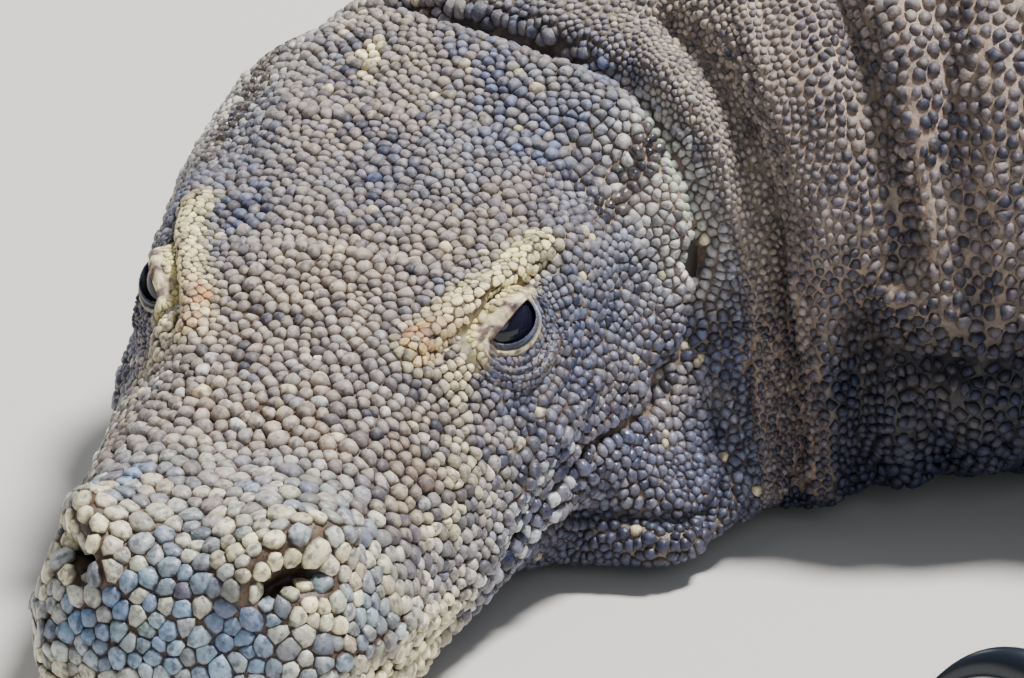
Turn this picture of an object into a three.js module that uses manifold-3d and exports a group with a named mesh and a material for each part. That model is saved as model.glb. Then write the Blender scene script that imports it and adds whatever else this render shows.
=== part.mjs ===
// Komodo dragon lying on its belly, life size, with its head turned to its left.
// Millimetres, +Z up. The trunk points along -Y and the tail along +Y, and the
// animal's left side is +X. The origin is on the floor, under the middle of the animal.
import * as THREE from 'three';
import { mergeVertices } from 'three/addons/utils/BufferGeometryUtils.js';
import Module from 'manifold-3d';

const wasm = await Module();
wasm.setup();

// Driving dimensions
const gap = 0.3;            // clearance between neighbouring pieces
const bodyLength = 2520;    // snout tip to tail tip, along the spine
const headEnd = 205;        // back edge of the jaw muscle
const noseLength = 26;      // length over which the snout tip rounds off
const sink = 2;             // how far the belly line is flattened by the floor
const headTurn = 62;        // degrees between the head and the trunk
const headAzimuth = 150;    // tailward direction of the head, degrees from +X
const bendStart = 150;      // where the neck starts to bend
const bendLength = 130;

// Cross-sections along the spine. The bottom of each one is on the floor.
// Columns: distance from the snout tip, half width, height of the top,
// height of the widest level, roundness above it, roundness below it.
const sections = [
  [0, 30, 48, 22, 2.7, 2.4],
  [20, 37, 57, 22, 2.6, 2.6],
  [50, 41, 62, 23, 2.4, 2.4],
  [85, 45, 71, 28, 2.5, 2.3],
  [113, 51, 81, 34, 2.7, 2.3],
  [145, 60, 89, 38, 2.8, 2.6],
  [165, 65, 94, 38, 2.8, 3.4],
  [185, 69, 100, 38, 2.7, 3.8],
  [205, 72, 107, 40, 2.6, 3.6],
  [230, 80, 116, 44, 2.4, 3.2],
  [260, 91, 126, 50, 2.3, 3.0],
  [330, 110, 152, 62, 2.1, 2.8],
  [440, 130, 186, 76, 2.1, 2.7],
  [560, 148, 210, 84, 2.1, 2.7],
  [740, 170, 224, 88, 2.1, 2.8],
  [920, 153, 212, 84, 2.1, 2.7],
  [1060, 118, 186, 80, 2.1, 2.5],
  [1180, 86, 154, 70, 2.1, 2.3],
  [1400, 62, 124, 58, 2.1, 2.1],
  [1800, 36, 84, 42, 2, 2],
  [2250, 16, 44, 22, 2, 2],
  [2520, 6, 16, 8, 2, 2],
];

// Swellings of the head, on both sides of it: a capsule between two points
// (distance back, distance out, height), its radius and the way it pushes the skin.
const swellings = [
  { name: 'brow ridge', from: [84, 28, 76], to: [114, 44, 83], radius: 11, push: [0, 3.5, 4.5] },
  { name: 'brow knob', from: [114, 44, 83], to: [138, 46, 86], radius: 11, push: [0, 4.5, 5.5] },
  { name: 'temple hollow', from: [140, 50, 52], to: [162, 60, 65], radius: 13, push: [0, -5.3, -1] },
  { name: 'nostril dome', from: [12, 20, 48], to: [32, 26, 56], radius: 10, push: [0, 1, 3] },
  { name: 'throat roll', from: [154, 40, 10], to: [176, 66, 12], radius: 16, push: [-7, 6, 0] },
  { name: 'snout hollow', from: [20, 0, 58], to: [52, 0, 62], radius: 9, push: [0, 0, -3] },
];

// Loose skin of the throat, pressed out on the floor inside the turn of the neck
const throatPouch = {
  line: new THREE.Line3(new THREE.Vector3(-106, 128, 6), new THREE.Vector3(-122, 160, 6)),
  radius: 18,
  push: new THREE.Vector3(19, 3, 0),
};

// Rings of folded skin round the neck: place, depth and width
const neckFolds = [
  { at: 228, depth: 4, width: 9 },
  { at: 283, depth: 5, width: 10 },
  { at: 345, depth: 4, width: 14 },
];

// Mouth line, as distance back and height
const mouthLine = [[-20, 16], [45, 17], [80, 18], [110, 31], [126, 38], [148, 41]];

const eye = { at: [116.8, 36.1, 67.2], radius: 9 };
const nostril = { at: [16, 27, 45], radii: [6, 5, 4] };
const ear = { at: [184, 65, 64], radius: 7, depth: 5, drum: 2 };

// Pieces along the spine: name, start, end, sections, points round each section
const spinePieces = [
  { name: 'neck', start: 205, end: 440, rings: 15, around: 26, color: 0x6f6a66 },
  { name: 'chest', start: 440, end: 720, rings: 7, around: 24, color: 0x5f5b57 },
  { name: 'belly', start: 720, end: 1160, rings: 9, around: 24, color: 0x615c56 },
  { name: 'tail_base', start: 1160, end: 1480, rings: 7, around: 18, color: 0x5d5852 },
  { name: 'tail_middle', start: 1480, end: 1860, rings: 7, around: 16, color: 0x59544f },
  { name: 'tail_rear', start: 1860, end: 2220, rings: 7, around: 12, color: 0x57524d },
  { name: 'tail_tip', start: 2220, end: 2520, rings: 6, around: 10, color: 0x544f4b },
];

// Legs. A joint is given as distance forward, distance out and height, from the
// spine at the leg's station; a size is half the width and half the height there.
const legs = [
  {
    name: 'fore_left', side: 1, station: 455, upper: 'upper_arm', lower: 'forearm', end: 'hand',
    joints: [[-4, 70, 92], [-4, 148, 80], [3, 214, 58], [40, 234, 42], [86, 225, 25]],
    sizes: [[50, 58], [48, 50], [40, 40], [39, 35], [28, 21]], pointing: -8,
    palm: { length: 42, halfWidth: 37, halfHeight: 15 },
    digits: [[42, 30], [22, 42], [2, 50], [-18, 50], [-42, 36]], digitRadius: 9,
  },
  {
    name: 'fore_right', side: -1, station: 455, upper: 'upper_arm', lower: 'forearm', end: 'hand',
    joints: [[-6, 70, 92], [-14, 146, 80], [-10, 212, 58], [30, 244, 42], [86, 240, 25]],
    sizes: [[50, 58], [48, 50], [40, 40], [39, 35], [28, 21]], pointing: 6,
    palm: { length: 42, halfWidth: 37, halfHeight: 15 },
    digits: [[42, 30], [22, 42], [2, 50], [-18, 50], [-42, 36]], digitRadius: 9,
  },
  {
    name: 'hind_left', side: 1, station: 1060, upper: 'thigh', lower: 'shank', end: 'foot',
    joints: [[-6, 40, 88], [30, 140, 82], [58, 216, 64], [16, 272, 46], [-62, 296, 27]],
    sizes: [[70, 74], [62, 62], [48, 48], [45, 41], [31, 24]], pointing: 100,
    palm: { length: 66, halfWidth: 36, halfHeight: 17 },
    digits: [[44, 34], [24, 50], [8, 66], [-10, 74], [-40, 48]], digitRadius: 10,
  },
  {
    name: 'hind_right', side: -1, station: 1060, upper: 'thigh', lower: 'shank', end: 'foot',
    joints: [[-6, 40, 88], [12, 140, 82], [34, 220, 64], [-8, 268, 46], [-92, 286, 27]],
    sizes: [[70, 74], [62, 62], [48, 48], [45, 41], [31, 24]], pointing: 92,
    palm: { length: 66, halfWidth: 36, halfHeight: 17 },
    digits: [[44, 34], [24, 50], [8, 66], [-10, 74], [-40, 48]], digitRadius: 10,
  },
];
const claw = { length: 27, radius: 5, rise: 3, drop: 8, rings: 4, around: 5 };
const toeTipHeight = 8;

const degrees = Math.PI / 180;
const clamp = (value, low, high) => Math.min(Math.max(value, low), high);
const ease = (value) => {
  const x = clamp(value, 0, 1);
  return x * x * (3 - 2 * x);
};

// A turn that starts and ends softly and is even in between, from 0 to 1
const softEnd = 0.2;
const evenTurn = (value) => {
  const x = clamp(value, 0, 1);
  const soft = (part) => (part * part) / (2 * softEnd * (1 - softEnd));
  if (x < softEnd) return soft(x);
  if (x > 1 - softEnd) return 1 - soft(1 - x);
  return (x - softEnd / 2) / (1 - softEnd);
};

// Direction of the spine, tailward, in degrees from +X
const heading = (s) => headAzimuth
  - headTurn * evenTurn((s - bendStart) / bendLength)
  + 14 * ease((s - 1250) / 500)
  - 40 * ease((s - 1700) / 800);

// The spine as a plan curve: its heading, summed in short steps
const spineStep = 2;
const spinePlan = [{ x: 0, y: 0 }];
for (let s = spineStep; s <= bodyLength; s += spineStep) {
  const angle = heading(s - spineStep / 2) * degrees;
  const last = spinePlan.at(-1);
  spinePlan.push({
    x: last.x + spineStep * Math.cos(angle),
    y: last.y + spineStep * Math.sin(angle),
  });
}

function spineAt(s) {
  const index = clamp(Math.floor(s / spineStep), 0, spinePlan.length - 2);
  const part = s / spineStep - index;
  const [near, far] = [spinePlan[index], spinePlan[index + 1]];
  const angle = heading(s) * degrees;
  return {
    x: near.x + (far.x - near.x) * part,
    y: near.y + (far.y - near.y) * part,
    left: new THREE.Vector3(Math.sin(angle), -Math.cos(angle), 0),
    forward: new THREE.Vector3(-Math.cos(angle), -Math.sin(angle), 0),
  };
}

// Monotone cubic interpolation of one column of the section table
function column(s, index) {
  const rows = sections;
  const slope = (i) => (rows[i + 1][index] - rows[i][index]) / (rows[i + 1][0] - rows[i][0]);
  const tangent = (i) => {
    if (i === 0) return slope(0);
    if (i === rows.length - 1) return slope(i - 1);
    const [before, after] = [slope(i - 1), slope(i)];
    if (before * after <= 0) return 0;
    const lengthBefore = rows[i][0] - rows[i - 1][0];
    const lengthAfter = rows[i + 1][0] - rows[i][0];
    const weightBefore = 2 * lengthAfter + lengthBefore;
    const weightAfter = lengthAfter + 2 * lengthBefore;
    return (weightBefore + weightAfter) / (weightBefore / before + weightAfter / after);
  };
  let i = 0;
  while (i < rows.length - 2 && s >= rows[i + 1][0]) i += 1;
  const length = rows[i + 1][0] - rows[i][0];
  const t = (s - rows[i][0]) / length;
  return (1 + 2 * t) * (1 - t) ** 2 * rows[i][index]
    + t * (1 - t) ** 2 * length * tangent(i)
    + t * t * (3 - 2 * t) * rows[i + 1][index]
    + t * t * (t - 1) * length * tangent(i + 1);
}

const power = (value, exponent) => Math.sign(value) * Math.abs(value) ** exponent;

// A point of the skin in the body's own terms: distance back, out to the left, height.
// Each section is a superellipse, with one roundness above its widest level and one below.
function sectionPoint(s, phi, grow) {
  const [halfWidth, top, level, above, below] = [1, 2, 3, 4, 5].map((i) => column(s, i));
  const round = s < noseLength ? Math.sqrt(1 - (1 - s / noseLength) ** 2.2) : 1;
  const fold = neckFolds.reduce(
    (sum, ring) => sum + ring.depth * Math.exp(-(((s - ring.at) / ring.width) ** 2)),
    0,
  );
  const [across, up] = [Math.cos(phi), Math.sin(phi)];
  const exponent = 2 / (up > 0 ? above : below);
  const rise = up > 0 ? top - level : level + sink;
  const skin = grow - fold;
  return new THREE.Vector3(
    s,
    (halfWidth + skin) * round * power(across, exponent),
    level + (rise + (up > 0 ? skin : 0)) * round * power(up, exponent),
  );
}

function swell(point) {
  const result = point.clone();
  for (const { from, to, radius, push } of swellings) {
    for (const side of from[1] === 0 ? [1] : [1, -1]) {
      const segment = new THREE.Line3(
        new THREE.Vector3(from[0], from[1] * side, from[2]),
        new THREE.Vector3(to[0], to[1] * side, to[2]),
      );
      const nearest = segment.closestPointToPoint(point, true, new THREE.Vector3());
      const weight = Math.exp(-((nearest.distanceTo(point) / radius) ** 2));
      result.add(new THREE.Vector3(push[0], push[1] * side, push[2]).multiplyScalar(weight));
    }
  }
  return result;
}

// From distance back, distance out to the left and height to the model's own frame
function place(back, left, height) {
  const at = spineAt(back);
  const point = new THREE.Vector3(at.x + at.left.x * left, at.y + at.left.y * left, height);
  const nearest = throatPouch.line.closestPointToPoint(point, true, new THREE.Vector3());
  const weight = Math.exp(-((nearest.distanceTo(point) / throatPouch.radius) ** 2));
  point.addScaledVector(throatPouch.push, weight);
  point.z = Math.max(point.z, 0);
  return point;
}

function bodyRing(s, around, grow = 0) {
  return Array.from({ length: around }, (_, i) => {
    const point = swell(sectionPoint(s, ((i + 0.5) / around) * 2 * Math.PI, grow));
    return place(point.x, point.y, point.z);
  });
}

// A closed body through rings of points, with a flat fan over each end
function loft(rings) {
  const around = rings[0].length;
  const centre = (ring) => ring
    .reduce((sum, point) => sum.add(point), new THREE.Vector3())
    .divideScalar(ring.length);
  const points = [...rings.flat(), centre(rings[0]), centre(rings.at(-1))];
  const index = [];
  for (let i = 0; i < rings.length - 1; i += 1) {
    for (let j = 0; j < around; j += 1) {
      const [a, b] = [i * around + j, i * around + ((j + 1) % around)];
      index.push(a, a + around, b + around, a, b + around, b);
    }
  }
  const [startCentre, endCentre] = [points.length - 2, points.length - 1];
  const lastRing = (rings.length - 1) * around;
  for (let j = 0; j < around; j += 1) {
    const next = (j + 1) % around;
    index.push(startCentre, j, next);
    index.push(endCentre, lastRing + next, lastRing + j);
  }
  const geometry = new THREE.BufferGeometry().setFromPoints(points);
  geometry.setIndex(index);
  return geometry;
}

// A library shape with the vertices along its seams joined, so that it is closed
function closed(geometry) {
  geometry.deleteAttribute('normal');
  geometry.deleteAttribute('uv');
  return mergeVertices(geometry, 1e-4);
}

// Booleans
function solid(geometry) {
  const mesh = new wasm.Mesh({
    numProp: 3,
    vertProperties: Float32Array.from(geometry.attributes.position.array),
    triVerts: Uint32Array.from(geometry.index.array),
  });
  return new wasm.Manifold(mesh);
}

// The largest single body of a cut, as a geometry
function largest(cut) {
  const bodies = cut.decompose().sort((a, b) => b.volume() - a.volume());
  const mesh = bodies[0].getMesh();
  const geometry = new THREE.BufferGeometry();
  geometry.setAttribute('position', new THREE.BufferAttribute(mesh.vertProperties, 3));
  geometry.setIndex(new THREE.BufferAttribute(mesh.triVerts, 1));
  return geometry;
}

function finish(color, roughness) {
  return new THREE.MeshStandardMaterial({ color, roughness, metalness: 0 });
}

function named(name, geometry, material) {
  geometry.computeVertexNormals();
  const mesh = new THREE.Mesh(geometry, material);
  mesh.name = name;
  return mesh;
}

// Head: one body through its sections, then cut for the eyes, nostrils, ears and mouth
const headAround = 26;
const headPlaces = [
  0.4, 3, 8, 14, 21, 29, 38, 48, 58, 68, 78, 87, 95, 103, 111, 119, 127, 136,
  145, 154, 163, 172, 182, 193, headEnd - gap,
];

function ball(at, side, radii, turnedOut = 0) {
  const geometry = closed(new THREE.SphereGeometry(1, 12, 8));
  geometry.scale(...radii);
  geometry.rotateZ((heading(at[0]) - turnedOut * side) * degrees);
  const centre = place(at[0], at[1] * side, at[2]);
  geometry.translate(centre.x, centre.y, centre.z);
  return geometry;
}

// A round plug whose axis points out of the side of the head, from one depth to another
function plug(side, radius, from, to) {
  const geometry = closed(new THREE.CylinderGeometry(radius, radius, to - from, 12));
  geometry.translate(0, (from + to) / 2, 0);
  geometry.scale(0.7, 1, 1.15);
  const at = spineAt(ear.at[0]);
  const out = at.left.clone().multiplyScalar(side);
  const basis = new THREE.Matrix4().makeBasis(
    at.forward.clone().multiplyScalar(side),
    out,
    new THREE.Vector3(0, 0, 1),
  );
  geometry.applyMatrix4(basis);
  const centre = place(ear.at[0], ear.at[1] * side, ear.at[2]);
  geometry.translate(centre.x, centre.y, centre.z);
  return geometry;
}

// The space under the mouth line, as a slab right across the head
function jawSpace(lift) {
  const outline = new THREE.Shape();
  const rear = mouthLine.at(-1)[0] - lift;
  const underFloor = -30;
  outline.moveTo(mouthLine[0][0], underFloor);
  for (const [back, height] of mouthLine) outline.lineTo(Math.min(back, rear), height - lift);
  outline.lineTo(rear, underFloor);
  const width = 240;
  const slab = closed(new THREE.ExtrudeGeometry(outline, { depth: width, bevelEnabled: false }));
  const at = spineAt(0);
  const basis = new THREE.Matrix4().makeBasis(
    at.forward.clone().negate(),
    new THREE.Vector3(0, 0, 1),
    at.left,
  );
  slab.translate(0, 0, -width / 2);
  slab.applyMatrix4(basis);
  return slab;
}

function makeHead() {
  const whole = solid(loft(headPlaces.map((s) => bodyRing(s, headAround))));
  let cut = whole;
  for (const side of [1, -1]) {
    const clearance = eye.radius + gap;
    cut = cut.subtract(solid(ball(eye.at, side, [clearance, clearance, clearance])));
    cut = cut.subtract(solid(ball(nostril.at, side, nostril.radii, 25)));
    cut = cut.subtract(solid(plug(side, ear.radius, -ear.depth, 40)));
  }
  const upper = cut.subtract(solid(jawSpace(0)));
  const lower = cut.intersect(solid(jawSpace(gap)));
  const hide = finish(0x77706a, 0.7);
  const parts = [
    named('head', largest(upper), hide),
    named('lower_jaw', largest(lower), hide),
  ];
  for (const [side, sideName] of [[1, 'left'], [-1, 'right']]) {
    const radius = eye.radius;
    const glossy = finish(0x0b0d16, 0.08);
    parts.push(named(`eye_${sideName}`, ball(eye.at, side, [radius, radius, radius]), glossy));
    const drum = plug(side, ear.radius - gap, gap - ear.depth, ear.drum - ear.depth);
    parts.push(named(`ear_${sideName}`, drum, finish(0x3a342f, 0.55)));
  }
  return parts;
}

function makeSpinePiece({ name, start, end, rings, around, color }) {
  const last = end === bodyLength ? end : end - gap;
  const places = Array.from({ length: rings }, (_, i) => start + ((last - start) * i) / (rings - 1));
  return named(name, loft(places.map((s) => bodyRing(s, around))), finish(color, 0.75));
}

// The trunk a little fatter than it is, to cut the legs where they meet it
function trunkWithClearance() {
  const places = spinePieces.slice(0, 4).flatMap(({ start, end, rings }) => (
    Array.from({ length: rings - 1 }, (_, i) => start + ((end - start) * i) / (rings - 1))
  ));
  return solid(loft(places.map((s) => bodyRing(s, 60, 2 * gap))));
}

// Legs
const up = new THREE.Vector3(0, 0, 1);

function oval(centre, along, halfWidth, halfHeight, around, floor = 0) {
  const across = new THREE.Vector3().crossVectors(along, up).normalize();
  const over = new THREE.Vector3().crossVectors(across, along).normalize();
  return Array.from({ length: around }, (_, i) => {
    const angle = ((i + 0.5) / around) * 2 * Math.PI;
    const point = centre.clone()
      .addScaledVector(across, halfWidth * Math.cos(angle))
      .addScaledVector(over, halfHeight * Math.sin(angle));
    point.z = Math.max(point.z, floor);
    return point;
  });
}

const mix = (list, t, index) => {
  const scaled = clamp(t, 0, 1) * (list.length - 1);
  const i = Math.min(Math.floor(scaled), list.length - 2);
  return THREE.MathUtils.lerp(list[i][index], list[i + 1][index], ease(scaled - i));
};

const legAround = 10;

const range = (from, to, count) => Array.from(
  { length: count },
  (_, i) => from + ((to - from) * i) / (count - 1),
);

function digitTube(base, direction, length, radius) {
  const shape = [
    { along: -0.6 * radius, height: 15, size: 0.95 },
    { along: 0.35 * length, height: 17, size: 1 },
    { along: 0.7 * length, height: 13, size: 0.92 },
    { along: length - 3, height: toeTipHeight + 0.5, size: 0.86 },
    { along: length, height: toeTipHeight, size: 0.6 },
  ];
  const rings = shape.map(({ along, height, size }) => {
    const centre = base.clone().addScaledVector(direction, along);
    centre.z = height;
    return oval(centre, direction, radius * size, radius * size, 6);
  });
  return loft(rings);
}

// A claw starts level at the toe tip, rises a little and curves down to the floor
function makeClaw(name, tip, direction) {
  const rings = Array.from({ length: claw.rings }, (_, i) => {
    const t = i / (claw.rings - 1);
    const height = claw.rise * Math.sin(Math.PI * t) - claw.drop * t * t;
    const slope = (claw.rise * Math.PI * Math.cos(Math.PI * t) - 2 * claw.drop * t) / claw.length;
    const centre = new THREE.Vector3(claw.length * t, 0, height);
    const along = new THREE.Vector3(1, 0, i === 0 ? 0 : slope).normalize();
    const size = claw.radius * (1 - 0.86 * t ** 1.4);
    return oval(centre, along, size * 0.8, size, claw.around, -toeTipHeight);
  });
  const mesh = named(name, loft(rings), finish(0x1d1a18, 0.35));
  mesh.position.copy(tip).addScaledVector(direction, gap);
  mesh.rotation.z = Math.atan2(direction.y, direction.x);
  return mesh;
}

function makeLeg(leg, trunk) {
  const at = spineAt(leg.station);
  const out = at.left.clone().multiplyScalar(leg.side);
  const joints = leg.joints.map(([ahead, outward, height]) => new THREE.Vector3(at.x, at.y, height)
    .addScaledVector(at.forward, ahead)
    .addScaledVector(out, outward));
  const yaw = leg.pointing * degrees;
  const pointing = at.forward.clone().multiplyScalar(Math.cos(yaw)).addScaledVector(out, Math.sin(yaw));
  const sideways = at.forward.clone().multiplyScalar(-Math.sin(yaw)).addScaledVector(out, Math.cos(yaw));
  const wrist = joints.at(-1);
  const beyond = wrist.clone().addScaledVector(pointing, leg.palm.length);
  beyond.z = leg.palm.halfHeight;
  const path = new THREE.CatmullRomCurve3([...joints, beyond], false, 'centripetal');
  const wristShare = (joints.length - 1) / joints.length;
  const ringAt = (t, grow = 0) => {
    const u = t * wristShare;
    const [wide, high] = [mix(leg.sizes, t, 0) + grow, mix(leg.sizes, t, 1) + grow];
    return oval(path.getPoint(u), path.getTangent(u), wide, high, legAround);
  };
  const skip = gap / path.getLength();
  const elbow = 0.5;
  const upperPlaces = range(0, elbow, 5);
  const upper = solid(loft(upperPlaces.map((t) => ringAt(t)))).subtract(trunk);
  const cutter = loft([...upperPlaces, elbow + 2 * skip].map((t) => ringAt(t, gap)));
  const lower = solid(loft(range(elbow, 1, 5).map((t) => ringAt(t)))).subtract(solid(cutter));

  // Palm: from the wrist to the knuckles, low and flat
  const wristRing = ringAt(1).map((point) => point.clone().addScaledVector(path.getTangent(wristShare), gap));
  const { length, halfWidth, halfHeight } = leg.palm;
  const palmRing = (share, wide, high) => {
    const centre = wrist.clone().addScaledVector(pointing, length * share);
    centre.z = high - 1;
    return oval(centre, pointing, halfWidth * wide, high, legAround);
  };
  const palm = loft([
    wristRing,
    palmRing(0.45, 0.86, halfHeight + 3),
    palmRing(0.8, 1, halfHeight),
    palmRing(1.05, 0.9, halfHeight - 3),
    palmRing(1.2, 0.6, halfHeight - 7),
  ]);
  const paw = { solid: solid(palm), claws: [] };
  leg.digits.forEach(([spread, reach], i) => {
    const angle = spread * degrees;
    const direction = pointing.clone().multiplyScalar(Math.cos(angle)).addScaledVector(sideways, -Math.sin(angle));
    const share = (2 - i) / 2;
    const base = wrist.clone()
      .addScaledVector(pointing, length * (0.98 - 0.22 * Math.abs(share)))
      .addScaledVector(sideways, -halfWidth * 0.78 * share);
    paw.solid = paw.solid.add(solid(digitTube(base, direction, reach, leg.digitRadius)));
    const tip = base.clone().addScaledVector(direction, reach);
    tip.z = toeTipHeight;
    paw.claws.push(makeClaw(`${leg.name}_claw_${i + 1}`, tip, direction));
  });
  const hide = finish(0x4f4b49, 0.75);
  return [
    named(`${leg.name}_${leg.upper}`, largest(upper), hide),
    named(`${leg.name}_${leg.lower}`, largest(lower), hide),
    named(`${leg.name}_${leg.end}`, largest(paw.solid), hide),
    ...paw.claws,
  ];
}

const trunk = trunkWithClearance();
const body = new THREE.Group();
body.add(...makeHead());
body.add(...spinePieces.map(makeSpinePiece));
for (const leg of legs) {
  const group = new THREE.Group();
  group.add(...makeLeg(leg, trunk));
  body.add(group);
}

// Centre the animal over the origin
body.updateMatrixWorld(true);
const bounds = new THREE.Box3().setFromObject(body, true);
const middle = bounds.getCenter(new THREE.Vector3());
body.position.set(-middle.x, -middle.y, -bounds.min.z);

const komodoDragon = new THREE.Group();
komodoDragon.add(body);
komodoDragon.updateMatrixWorld(true);

export default komodoDragon;
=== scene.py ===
import math
import bpy
import numpy as np
from mathutils import Matrix, Vector
from mathutils.bvhtree import BVHTree
from mathutils.kdtree import KDTree


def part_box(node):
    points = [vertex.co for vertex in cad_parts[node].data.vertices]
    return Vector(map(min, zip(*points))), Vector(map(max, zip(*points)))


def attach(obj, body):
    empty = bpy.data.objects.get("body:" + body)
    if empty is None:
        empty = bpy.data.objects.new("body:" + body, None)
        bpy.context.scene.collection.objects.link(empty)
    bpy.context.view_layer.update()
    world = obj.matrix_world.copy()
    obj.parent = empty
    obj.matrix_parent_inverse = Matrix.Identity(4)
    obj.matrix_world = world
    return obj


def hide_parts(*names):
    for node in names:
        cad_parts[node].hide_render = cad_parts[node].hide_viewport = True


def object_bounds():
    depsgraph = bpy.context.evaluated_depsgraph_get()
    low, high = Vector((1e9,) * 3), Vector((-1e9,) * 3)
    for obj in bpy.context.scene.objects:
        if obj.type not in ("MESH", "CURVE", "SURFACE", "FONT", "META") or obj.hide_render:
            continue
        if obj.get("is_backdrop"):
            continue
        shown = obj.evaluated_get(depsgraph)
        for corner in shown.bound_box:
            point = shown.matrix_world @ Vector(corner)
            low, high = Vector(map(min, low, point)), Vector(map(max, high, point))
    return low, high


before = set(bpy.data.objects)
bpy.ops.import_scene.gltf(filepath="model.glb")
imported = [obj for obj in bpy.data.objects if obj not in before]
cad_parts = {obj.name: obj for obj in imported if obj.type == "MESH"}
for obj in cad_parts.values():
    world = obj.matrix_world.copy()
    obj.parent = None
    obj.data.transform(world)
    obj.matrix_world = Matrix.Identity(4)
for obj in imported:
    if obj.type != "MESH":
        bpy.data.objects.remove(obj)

# Komodo dragon on its belly, chin on the floor, head turned to its left.
# Shapes are worked out in millimetres and put into the meshes in metres.
cadLow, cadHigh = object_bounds()
rng = np.random.default_rng(41)
mm = 0.001
boxMargin = 0.05                            # every point of the hide stays this far inside the solids' box
boxLow, boxHigh = np.array(cadLow) / mm + boxMargin, np.array(cadHigh) / mm - boxMargin

# Body: cross-sections along the spine, snout tip to tail tip, as in the part.
# Columns: distance back, half width, top, widest level, roundness above and below it.
body = {
    "sections": np.array([
        [0, 30, 48, 22, 2.7, 2.4], [20, 37, 57, 22, 2.6, 2.6], [50, 41, 62, 23, 2.4, 2.4],
        [85, 45, 71, 28, 2.5, 2.3], [113, 51, 81, 34, 2.7, 2.3], [145, 60, 89, 38, 2.8, 2.6],
        [165, 65, 94, 38, 2.8, 3.4], [185, 69, 100, 38, 2.7, 3.8], [205, 72, 107, 40, 2.6, 3.6],
        [230, 80, 116, 44, 2.4, 3.2], [260, 91, 126, 50, 2.3, 3.0], [330, 110, 152, 62, 2.1, 2.8],
        [440, 130, 186, 76, 2.1, 2.7], [560, 148, 210, 84, 2.1, 2.7], [740, 170, 224, 88, 2.1, 2.8],
        [920, 153, 212, 84, 2.1, 2.7], [1060, 118, 186, 80, 2.1, 2.5], [1180, 86, 154, 70, 2.1, 2.3],
        [1400, 62, 124, 58, 2.1, 2.1], [1800, 36, 84, 42, 2, 2], [2250, 16, 44, 22, 2, 2],
        [2520, 6, 16, 8, 2, 2]]),
    "length": 2520, "noseLength": 26, "sink": 2,
    "headTurn": 62, "headAzimuth": 150, "bendStart": 150, "bendLength": 130, "softEnd": 0.2,
    "tailBends": [(14, 1250, 500), (-40, 1700, 800)],     # degrees, start and length of each
    "coat": 1.5,           # how far the skin lies inside the solids
    "floorLift": 0.9,      # skin above the floor where the body rests
}

# Swellings: a capsule between two points (back, out, height), its radius and its push
swellings = [
    {"from": (84, 28, 76), "to": (114, 44, 83), "radius": 11, "push": (0, 3.5, 4.5)},   # brow ridge
    {"from": (114, 44, 83), "to": (138, 46, 86), "radius": 11, "push": (0, 4.5, 5.5)},  # brow knob
    {"from": (140, 50, 52), "to": (162, 60, 65), "radius": 13, "push": (0, -5.3, -1)},  # temple hollow
    {"from": (12, 20, 48), "to": (32, 26, 56), "radius": 10, "push": (0, 1, 3)},       # nostril dome
    {"from": (154, 40, 10), "to": (176, 66, 12), "radius": 16, "push": (-7, 6, 0)},    # throat roll
    {"from": (20, 0, 58), "to": (52, 0, 62), "radius": 9, "push": (0, 0, -3)},         # snout hollow
]


# Smooth step from 0 to 1: 3x^2 - 2x^3
def ease(x):
    x = np.clip(x, 0, 1)
    return x * x * (3 - 2 * x)


# A turn from 0 to 1: a parabola at each end, a straight line between them
def evenTurn(x):
    e = body["softEnd"]
    x = np.clip(x, 0, 1)
    soft = 2 * e * (1 - e)
    return np.where(x < e, x * x / soft, np.where(x > 1 - e, 1 - (1 - x) ** 2 / soft, (x - e / 2) / (1 - e)))


# Tailward direction of the spine in degrees: the neck's turn, then two soft bends of the tail
def heading(s):
    turn = body["headAzimuth"] - body["headTurn"] * evenTurn((s - body["bendStart"]) / body["bendLength"])
    for degrees, start, length in body["tailBends"]:
        turn = turn + degrees * ease((s - start) / length)
    return turn


spineStep = 2.0
spineMids = np.radians(heading(np.arange(0, body["length"] + 40, spineStep) + spineStep / 2))
spineX = np.concatenate([[0], np.cumsum(spineStep * np.cos(spineMids))])
spineY = np.concatenate([[0], np.cumsum(spineStep * np.sin(spineMids))])
spineS = np.arange(len(spineX)) * spineStep


# Monotone cubic through one column of the section table: the slope at a row is the weighted
# harmonic mean of the slopes beside it, or 0 where they change sign
def column(s, index):
    xs, ys = body["sections"][:, 0], body["sections"][:, index]
    h, d = np.diff(xs), np.diff(ys) / np.diff(xs)
    w1, w2 = 2 * h[1:] + h[:-1], h[1:] + 2 * h[:-1]
    same = d[:-1] * d[1:] > 0
    before, after = np.where(same, d[:-1], 1), np.where(same, d[1:], 1)
    inner = np.where(same, (w1 + w2) / np.where(same, w1 / before + w2 / after, 1), 0)
    m = np.concatenate([[d[0]], inner, [d[-1]]])
    i = np.clip(np.searchsorted(xs, s, side="right") - 1, 0, len(xs) - 2)
    t = (s - xs[i]) / h[i]
    return ((1 + 2 * t) * (1 - t) ** 2 * ys[i] + t * (1 - t) ** 2 * h[i] * m[i]
            + t * t * (3 - 2 * t) * ys[i + 1] + t * t * (t - 1) * h[i] * m[i + 1])


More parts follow.
